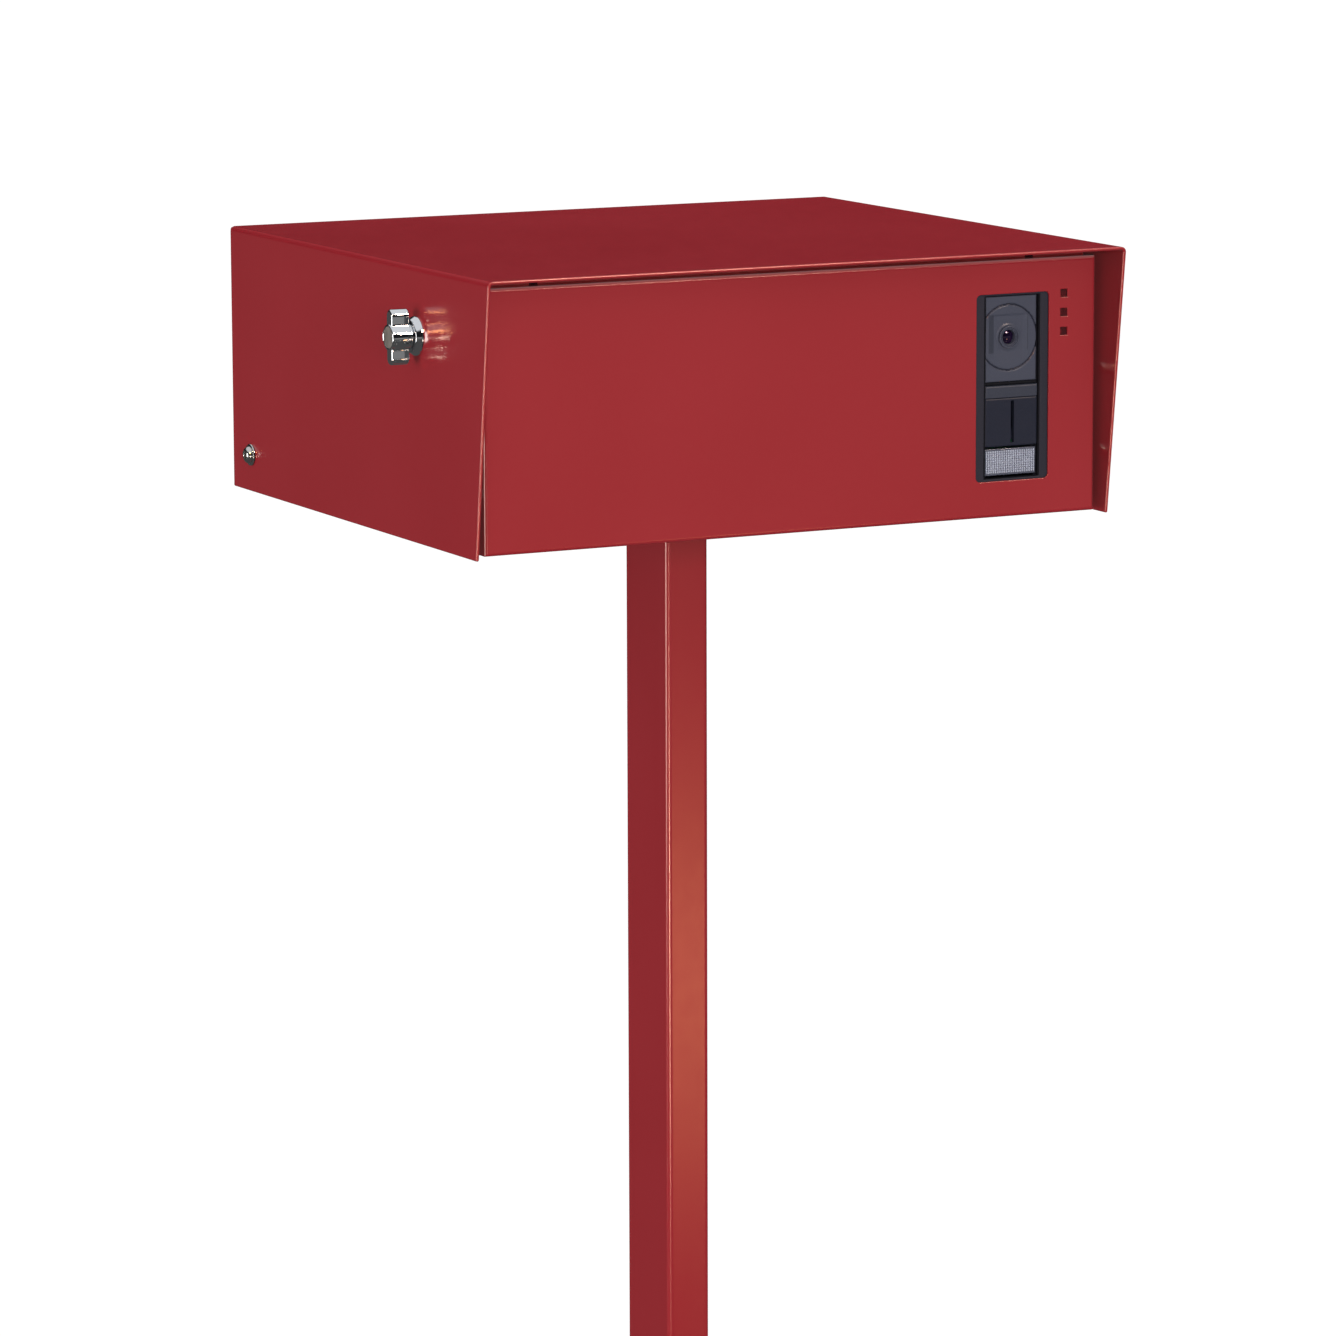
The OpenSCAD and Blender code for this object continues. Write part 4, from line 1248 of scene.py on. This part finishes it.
@dataclass
class DoorIntercom:
    """Frame, camera, lens, speaker cover, case and the parts behind them."""

    palette: Palette
    step_mm: float = 0.5
    header_mm: float = 7.4
    mouth_mm: tuple[float, float] = (39.9, 114.7)
    groove_mm: float = 20.6

    def build(self) -> None:
        """Makes the intercom."""
        p = self.palette
        black, dark = (p.module_black, "black_module"), (p.rubber, "rubber_black")
        # Painted shade: the black lining darkens the gaps round the modules.
        add_trim(self.lining(), *dark, "stand")
        add_trim(self.spacer(), *dark, "stand")
        soften_each((p.frame_grey, "grey_frame"), ("intercom_frame", "intercom_bezel", 0.5, 3))
        soften_each(black, ("intercom_case", "intercom_back_case", 0.5, 3))
        take_over(self.camera_face(), p.camera_grey, "camera_grey", "camera_cover")
        take_over(self.ring(), p.camera_grey, "black_module", "camera_ring")
        take_over(self.lens(), p.lens, "lens_glass", "camera_lens")
        take_over(self.speaker_face(), *black, "speaker_cover")
        barrel, driver = ("camera_barrel", "lens_barrel", 0.3, 2), ("speaker_driver", "loudspeaker", 0.4, 2)
        soften_each(black, barrel, driver)
        soften_each((p.board, "board_green"), ("intercom_board", "circuit_board", 0.1, 1))
        soften_each(black, ("call_switch", "tact_switch", 0.4, 2))
        soften_each((p.terminal, "terminal_plastic"), ("terminal_block", "terminal_block_body", 0.4, 2))

    def lining(self) -> Object:
        """Black rubber lining of the frame's mouth, round the modules, that also paints the shade in the gaps
        between the modules and the frame.
        """
        front = span("intercom_frame")[0].y
        cover_lo, cover_hi, cover = span("speaker_cover")
        wide, tall = (v * MM for v in self.mouth_mm)
        middle_z = span("camera_cover")[1].z + 0.45 * MM - tall / 2
        wall, ledge = (wide - (cover_hi.x - cover_lo.x)) / 2 - 0.15 * MM, 0.4 * MM
        bm = bmesh.new()
        loops = []
        for inset, depth in ((0, 2.35), (0, 0.45), (0.25, 0.2), (0.7, 0.2), (1, 0.45), (1, 2.35)):
            x, y, z = wide / 2 - wall * inset, front + depth * MM, tall / 2 - ledge * inset
            corners = ((-x, -z), (x, -z), (x, z), (-x, z))
            loops.append([bm.verts.new((cover.x + u, y, middle_z + v)) for u, v in corners])
        loft(bm, loops + loops[:1])
        return new_object("module_lining", mesh_from(bm, "module_lining"))

    def spacer(self) -> Object:
        """Black rounded bar between the camera and the speaker cover."""
        speaker_lo, speaker_hi, mid = span("speaker_cover")
        camera_lo = span("camera_cover")[0]
        half_z = (camera_lo.z - speaker_hi.z) / 2 - 0.1 * MM
        half_x = (speaker_hi.x - speaker_lo.x) / 2 - 0.3 * MM
        z = (camera_lo.z + speaker_hi.z) / 2
        front, thick = camera_lo.y + 0.4 * MM, 2.6 * MM
        section = [(front + half_z * (1 - math.sin(a)), -half_z * math.cos(a)) for a in arc(8, math.pi)]
        section += [(front + thick, half_z), (front + thick, -half_z)]
        bm = bmesh.new()
        loops = [[bm.verts.new((mid.x + side * half_x, y, z + up)) for side in (-1, 1)] for y, up in section]
        loft(bm, loops + loops[:1])
        for side in (0, 1):
            bm.faces.new([loop[side] for loop in loops])
        return new_object("module_spacer", mesh_from(bm, "module_spacer"))

    def camera_height(self, x: float, z: float) -> float:
        """Height of the camera cover's face above its base plane.

        Args:
            x: place across the cover from the lens, in mm.
            z: place up the cover from the lens, in mm.

        Returns:
            Height in mm; the round groove and the sunk field are negative.
        """
        sunk, groove_half, seat_r, seat_rise, slope = 0.9, 0.8, 8.6, 0.5, 0.8
        off = math.hypot(x, z)
        height = -sunk * max(0.0, 1 - ((off - self.groove_mm) / groove_half) ** 2)
        side = min(1.0, max(0.0, (14.0 - abs(x)) / 4.0))
        top = min(1.0, max(0.0, (14.5 - z) / 1.0))
        foot = min(1.0, max(0.0, (z + 17.0) / 9.0))
        height -= sunk * side * top * foot
        if off < seat_r:
            height += seat_rise * min(1.0, (seat_r - off) / slope)
        return height

    def moulding(
        self,
        name: str,
        grid: tuple[list[float], list[float]],
        depth: Callable[[float, float], float],
        back: float,
        is_open: Callable[[Vector], bool],
        finish_of: Callable[[Vector], int],
        *finishes: Material,
    ) -> Object:
        """Moulded cover: a relief over a grid, with openings and the edges turned back.

        Args:
            name: the piece's name.
            grid: the places of the grid's lines across and up.
            depth: gives the face's Y at a place across and up.
            back: Y that every edge reaches back to.
            is_open: says whether the face is open at a point.
            finish_of: gives the index of the finish at a point; on the camera cover some of these finishes
                are painted shade.
            *finishes: the finishes.

        Returns:
            The piece.
        """
        bm = bmesh.new()
        rows = [[bm.verts.new((x, depth(x, z), z)) for z in grid[1]] for x in grid[0]]
        for near, far in zip(rows, rows[1:]):
            for j in range(len(near) - 1):
                if not is_open((near[j].co + far[j + 1].co) / 2):
                    bm.faces.new((near[j], far[j], far[j + 1], near[j + 1]))
        bmesh.ops.delete(bm, geom=[v for v in bm.verts if not v.link_faces], context="VERTS")
        border = [e for e in bm.edges if e.is_boundary]
        for v in bmesh.ops.extrude_edge_only(bm, edges=border)["geom"]:
            if isinstance(v, bmesh.types.BMVert):
                v.co.y = back
        piece = new_object(name, mesh_from(bm, name, 50))
        for material in finishes:
            piece.data.materials.append(material)
        for poly in piece.data.polygons:
            poly.material_index = finish_of(poly.center)
        return piece

    def camera_face(self) -> Object:
        """Smoked cover with its round groove, square field and lens seat; the groove, the field's left slope
        and its right edge line take darker finishes as painted shade.
        """
        lo, hi, _ = span("camera_cover")
        lens = span("camera_ring")[2]
        edge, hole = 0.7, 6.9

        def depth(x: float, z: float) -> float:
            rim = min(x - lo.x, hi.x - x, z - lo.z, hi.z - z) / MM
            fall = 0.6 * max(0.0, 1 - rim / edge) ** 2
            height = self.camera_height((x - lens.x) / MM, (z - lens.z) / MM)
            return max(lo.y + (0.35 + fall - height) * MM, lo.y)

        def is_open(at: Vector) -> bool:
            return math.hypot(at.x - lens.x, at.z - lens.z) / MM < hole

        # Painted shade: the groove takes black, and the field's left slope and right edge line take the
        # darker charcoal, standing in for the shade of the relief.
        def finish_of(at: Vector) -> int:
            x, z = (at.x - lens.x) / MM, (at.z - lens.z) / MM
            if abs(math.hypot(x, z) - self.groove_mm) < 0.5:
                return 1
            return 2 * (-14.2 < x < -10.0 < z < 14.5 or 13.4 < x < 14.2 and -9.0 < z < 14.5)

        p = self.palette
        finishes = (p.camera_grey, p.module_black, p.header_grey)
        pitch = self.step_mm * MM
        grid = (self.steps(lo.x, hi.x, (), pitch), self.steps(lo.z, hi.z, (), pitch))
        return self.moulding("camera_cover_face", grid, depth, hi.y, is_open, finish_of, *finishes)

    def ring(self) -> Object:
        """Stepped ring round the lens."""
        lo, hi, mid = span("camera_ring")
        r, t, bore = (hi.x - lo.x) / 2 / MM, (hi.y - lo.y) / MM, 4.5
        rings = rings_of((-t, bore), (-t, r - 0.1)) + rounded(0.0, r, 0.5)
        rings += rings_of((-0.1, r - 0.9), (-0.9, r - 1.05), (-0.9, r - 1.5), (-0.5, r - 1.6))
        rings += rings_of((-0.55, r - 1.95), (-1.3, r - 2.05), (-1.3, r - 2.3), (-1.0, r - 2.4))
        rings += rings_of((-1.1, bore + 0.1), (-1.9, bore), (-t, bore))
        return new_object("lens_ring", turned_at("lens_ring", rings, 96, FRONT, (mid.x, lo.y, mid.z)))

    def lens(self) -> Object:
        """Crowned front lens."""
        lo, hi, mid = span("camera_lens")
        r, t, sag = (hi.x - lo.x) / 2 / MM, (hi.y - lo.y) / MM, 1.2
        ball = (r * r + sag * sag) / (2 * sag)
        radii = [r * (1 - i / 10.3) for i in range(11)]
        rings = rings_of((-t, r)) + [Ring(math.sqrt(ball * ball - s * s) - ball, s) for s in radii]
        return new_object("front_lens", turned_at("front_lens", rings, 64, FRONT, (mid.x, lo.y, mid.z)))

    def speaker_face(self) -> Object:
        """Speaker cover with a header strip and its one slot."""
        lo, hi, mid = span("speaker_cover")
        slot_x, slot_half = mid.x + 0.8 * MM, 1.2 * MM
        slot_lo, slot_hi = lo.z + 2.2 * MM, lo.z + 28.6 * MM
        strip = hi.z - self.header_mm * MM

        def depth(x: float, z: float) -> float:
            rim = min(x - lo.x, hi.x - x, z - lo.z, hi.z - z) / MM
            y = lo.y + 0.25 * MM + 0.7 * MM * max(0.0, 1 - rim / 0.8) ** 2
            drop = (hi.z - z) / MM - self.header_mm
            if drop < 0.05:
                return y - 0.25 * MM
            return y + 0.6 * MM if drop < 0.6 else y

        def is_open(at: Vector) -> bool:
            return abs(at.x - slot_x) < slot_half and slot_lo < at.z < slot_hi

        xs = self.steps(lo.x, hi.x, [slot_x - slot_half, slot_x + slot_half])
        zs = self.steps(lo.z, hi.z, [slot_lo, slot_hi, strip - 0.5 * MM, strip])
        return self.moulding(
            "speaker_cover_face",
            (xs, zs),
            depth,
            hi.y,
            is_open,
            lambda at: int(at.z > strip),
            self.palette.module_black,
            self.palette.header_grey,
        )

    @staticmethod
    def steps(low: float, high: float, stops: Sequence[float], pitch: float = 0.6 * MM) -> list[float]:
        """Even steps from low to high that also include each stop."""
        count = int((high - low) / pitch)
        values = [low + (high - low) * i / count for i in range(count + 1)]
        values = [v for v in values if all(abs(v - s) > pitch * 0.4 for s in stops)]
        return sorted(values + list(stops))


@dataclass
class CallButton:
    """Acrylic call button whose face is a grid of small prisms."""

    palette: Palette
    prism_mm: float = 1.3
    half_mm: float = 17.6

    def build(self) -> None:
        """Makes the button and its prisms."""
        finish = (self.palette.acrylic_edge, "button_clear")
        soften_each(finish, ("call_button", "call_button_body", 0.35, 3))
        add_trim(self.prisms(), self.palette.acrylic, "button_clear", "button")

    def prisms(self) -> Object:
        """Grid of low pyramids over the button's face, as a plain mesh."""
        lo, hi, mid = span("call_button")
        size = self.prism_mm * MM
        wide, tall = 2 * self.half_mm * MM, (hi.z - lo.z) - 2.4 * MM
        inputs = {"Width": "Float", "Height": "Float", "Columns": "Int", "Rows": "Int"}
        inputs.update({"Prism size": "Float", "Middle": "Vector", "Finish": "Material"})
        tree, start, ids = start_tree("prism_grid", inputs)
        given = start.outputs
        lines = {"Size X": "Width", "Size Y": "Height", "Vertices X": "Columns", "Vertices Y": "Rows"}
        links = {key: given[name] for key, name in lines.items()}
        sheet = add_node(tree, "GeometryNodeMeshGrid", links=links)
        one = {0: given["Prism size"]}
        radius, depth = (
            add_node(tree, "ShaderNodeMath", {1: share}, one, operation="MULTIPLY").outputs[0]
            for share in (0.6, 0.4)
        )
        prism = add_node(
            tree,
            "GeometryNodeMeshCone",
            values={"Vertices": 4, "Side Segments": 1},
            links={"Radius Bottom": radius, "Depth": depth},
        )
        shape = prism.outputs["Mesh"]
        for values in ({"Rotation": (0.0, 0.0, math.pi / 4)}, {"Scale": (0.74, 1.12, 1.0)}):
            shape = add_node(tree, "GeometryNodeTransform", values, {"Geometry": shape}).outputs[0]
        upright = {"Rotation": (math.pi / 2, 0.0, 0.0)}
        grid = repeated(tree, {"Points": sheet.outputs["Mesh"], "Instance": shape})
        links = {"Geometry": grid, "Translation": given["Middle"]}
        end_tree(tree, start, add_node(tree, "GeometryNodeTransform", upright, links).outputs[0])
        values = {"Width": wide - size, "Height": tall - size, "Prism size": size}
        values.update({"Columns": int(wide / size), "Rows": int(tall / size)})
        values.update({"Middle": (mid.x, lo.y, mid.z), "Finish": self.palette.acrylic})
        name = "call_button_prisms"
        return grown(new_object(name, bpy.data.meshes.new(name)), tree, ids, values)


@dataclass
class SmallParts:
    """Rubber buffers and the cable grommet."""

    palette: Palette

    def build(self) -> None:
        """Makes the rubber parts."""
        rubber = (self.palette.rubber, "rubber_black")
        buffers, grommet = ("rest_buffers", "rest_buffer_pads"), ("cable_grommet", "cable_grommet_ring")
        soften_each(rubber, (*buffers, 0.4, 3), (*grommet, 0.4, 3))


@dataclass(frozen=True)
class SoftBox:
    """A rectangular softbox: its middle, the point it faces, its size in metres and its brightness."""

    name: str
    place: tuple[float, float, float]
    target: tuple[float, float, float]
    size: tuple[float, float]
    brightness: float
    colour: str = "#ffffff"
    mirrored: bool = True
    lights_up: bool = True

    def build(self) -> None:
        """Makes the light; brightness is what a mirror would show of it."""
        data = bpy.data.lights.new(self.name, "AREA")
        data.shape = "RECTANGLE"
        data.size, data.size_y = self.size
        data.energy = self.brightness * math.pi * self.size[0] * self.size[1]
        data.color = linear(self.colour)[:3]
        obj = bpy.data.objects.new(self.name, data)
        bpy.context.scene.collection.objects.link(obj)
        obj.location = self.place
        obj.rotation_mode = "QUATERNION"
        obj.rotation_quaternion = (Vector(self.target) - Vector(self.place)).to_track_quat("-Z", "Y")
        obj.visible_glossy = self.mirrored
        obj.visible_diffuse = self.lights_up


@dataclass
class Studio:
    """Pale floor, soft lights and the camera."""

    focal_mm: float = 161.87
    place: tuple[float, float, float] = (-1.7276, -3.4102, 1.6747)
    yaw_deg: float = 26.889
    pitch_deg: float = 9.712
    roll_deg: float = -0.165
    backdrop: float = 1.05
    lights: tuple[SoftBox, ...] = (
        SoftBox("front_fill", (-0.9, -4.2, 1.7), (0, 0, 1.15), (2.0, 1.2), 14.8, mirrored=False),
        SoftBox("left_fill", (-4.0, 0.6, 0.95), (-0.2, 0, 1.1), (1.6, 1.7), 6.9),
        SoftBox("overhead", (1.7, 0.5, 4.0), (0, 0, 1.2), (2.2, 1.6), 9.6, mirrored=False),
        SoftBox("high_right", (1.5, -3.1, 3.3), (0, 0, 1.2), (0.9, 0.9), 42.0, "#ffe0cc", lights_up=False),
        SoftBox(
            "high_left", (-2.0, -2.9, 3.4), (-0.2, -0.1, 1.25), (0.4, 0.4), 200.0, "#ffac70", lights_up=False
        ),
        SoftBox(
            "low_left", (-1.7, -2.4, 0.25), (-0.2, -0.1, 1.25), (0.35, 0.35), 45.0, "#ffe0cc", lights_up=False
        ),
        SoftBox("low_right", (1.0, -2.1, 0.3), (0, 0, 0.8), (0.45, 0.3), 3.6, "#ffbe8c", lights_up=False),
    )

    def build(self) -> None:
        """Makes the camera, the floor, the lights and the surroundings."""
        self.camera()
        self.floor()
        self.surroundings()
        for light in self.lights:
            light.build()

    def camera(self) -> None:
        """Camera at the front left, a little above."""
        yaw, pitch, roll = (math.radians(v) for v in (self.yaw_deg, self.pitch_deg, self.roll_deg))
        ahead = Vector((math.sin(yaw) * math.cos(pitch), math.cos(yaw) * math.cos(pitch), -math.sin(pitch)))
        right = Vector((math.cos(yaw), -math.sin(yaw), 0))
        down = ahead.cross(right)
        tilted_right = math.cos(roll) * right - math.sin(roll) * down
        tilted_down = math.sin(roll) * right + math.cos(roll) * down
        data = bpy.data.cameras.new("camera")
        data.lens = self.focal_mm
        data.sensor_width = 36.0
        data.sensor_fit = "HORIZONTAL"
        data.clip_end = 200
        cam = bpy.data.objects.new("camera", data)
        bpy.context.scene.collection.objects.link(cam)
        turn = Matrix((tilted_right, -tilted_down, -ahead)).transposed().to_4x4()
        cam.matrix_world = Matrix.Translation(self.place) @ turn
        bpy.context.scene.camera = cam

    def floor(self) -> None:
        """Round pale floor: paper near the post, burnt out to white further off."""
        bm = bmesh.new()
        bmesh.ops.create_circle(bm, cap_ends=True, radius=30.0, segments=96)
        obj = new_object("studio_floor", mesh_from(bm, "studio_floor"))
        material, tree, shader = begin("seamless_paper_white", {"Roughness": 0.9, "Specular IOR Level": 0.2})
        cloud = remap(tree, grain(tree, 900.0, 2.0))
        wire(tree, shader, {"Base Color": blend_colours(tree, cloud, "#e9e9ea", "#eeeeee")})
        place = add_node(tree, "ShaderNodeTexCoord").outputs["Object"]
        axes = add_node(tree, "ShaderNodeSeparateXYZ", links={0: place})
        ahead = remap(tree, axes.outputs["Y"], 0.07, 0.22, (-3.0, -7.0))
        reach = add_node(tree, "ShaderNodeVectorMath", operation="LENGTH", links={0: place})
        fade = remap(tree, reach.outputs["Value"], 0.0, 1.0, (0.35, 1.7), "SMOOTHSTEP")
        white = add_node(tree, "ShaderNodeEmission", values={"Strength": self.backdrop})
        grey = add_node(tree, "ShaderNodeEmission", links={"Strength": ahead})
        pale = add_node(tree, "ShaderNodeEmission", values={"Strength": 0.4})
        ray = add_node(tree, "ShaderNodeLightPath").outputs
        seen = mixed(tree, fade, shader.outputs[0], white.outputs[0])
        unseen = mixed(tree, ray["Is Glossy Ray"], pale.outputs[0], grey.outputs[0])
        both = mixed(tree, ray["Is Camera Ray"], unseen, seen)
        sink = next(n for n in tree.nodes if n.type == "OUTPUT_MATERIAL")
        wire(tree, sink, {"Surface": both})
        obj.data.materials.append(material)

    def surroundings(self) -> None:
        """White backdrop; polished parts see a dark room with a bright ceiling."""
        world = bpy.data.worlds.new("studio")
        bpy.context.scene.world = world
        world.use_nodes = True
        tree = world.node_tree
        tree.nodes.clear()
        coords = add_node(tree, "ShaderNodeTexCoord")
        parts = add_node(tree, "ShaderNodeSeparateXYZ", links={0: coords.outputs["Generated"]})
        rise = remap(tree, parts.outputs["Z"], 0.0, 1.0, (0.42, 0.62), "SMOOTHSTEP")
        shade = blend_colours(tree, rise, "#1a1b1e", "#e0e2e6")
        mirrored = add_node(tree, "ShaderNodeBackground", {"Strength": 1.0}, {"Color": shade}).outputs[0]
        even, white = (
            add_node(tree, "ShaderNodeBackground", {"Color": (1, 1, 1, 1), "Strength": strength}).outputs[0]
            for strength in (0.62, self.backdrop)
        )
        ray = add_node(tree, "ShaderNodeLightPath").outputs
        unseen = mixed(tree, ray["Is Glossy Ray"], even, mirrored)
        both = mixed(tree, ray["Is Camera Ray"], unseen, white)
        add_node(tree, "ShaderNodeOutputWorld", links={"Surface": both})
        bpy.context.scene.view_settings.view_transform = "Standard"


def main() -> None:
    """Builds every sub-assembly."""
    palette = Palette()
    for assembly in (
        Studio(),
        SheetMetal(palette),
        PostAndFoot(palette),
        WingKnobLatch(palette),
        Fasteners(palette),
        DoorIntercom(palette),
        CallButton(palette),
        SmallParts(palette),
    ):
        log.info("building %s", type(assembly).__name__)
        assembly.build()
    bpy.context.view_layer.update()


if __name__ == "__main__":
    main()
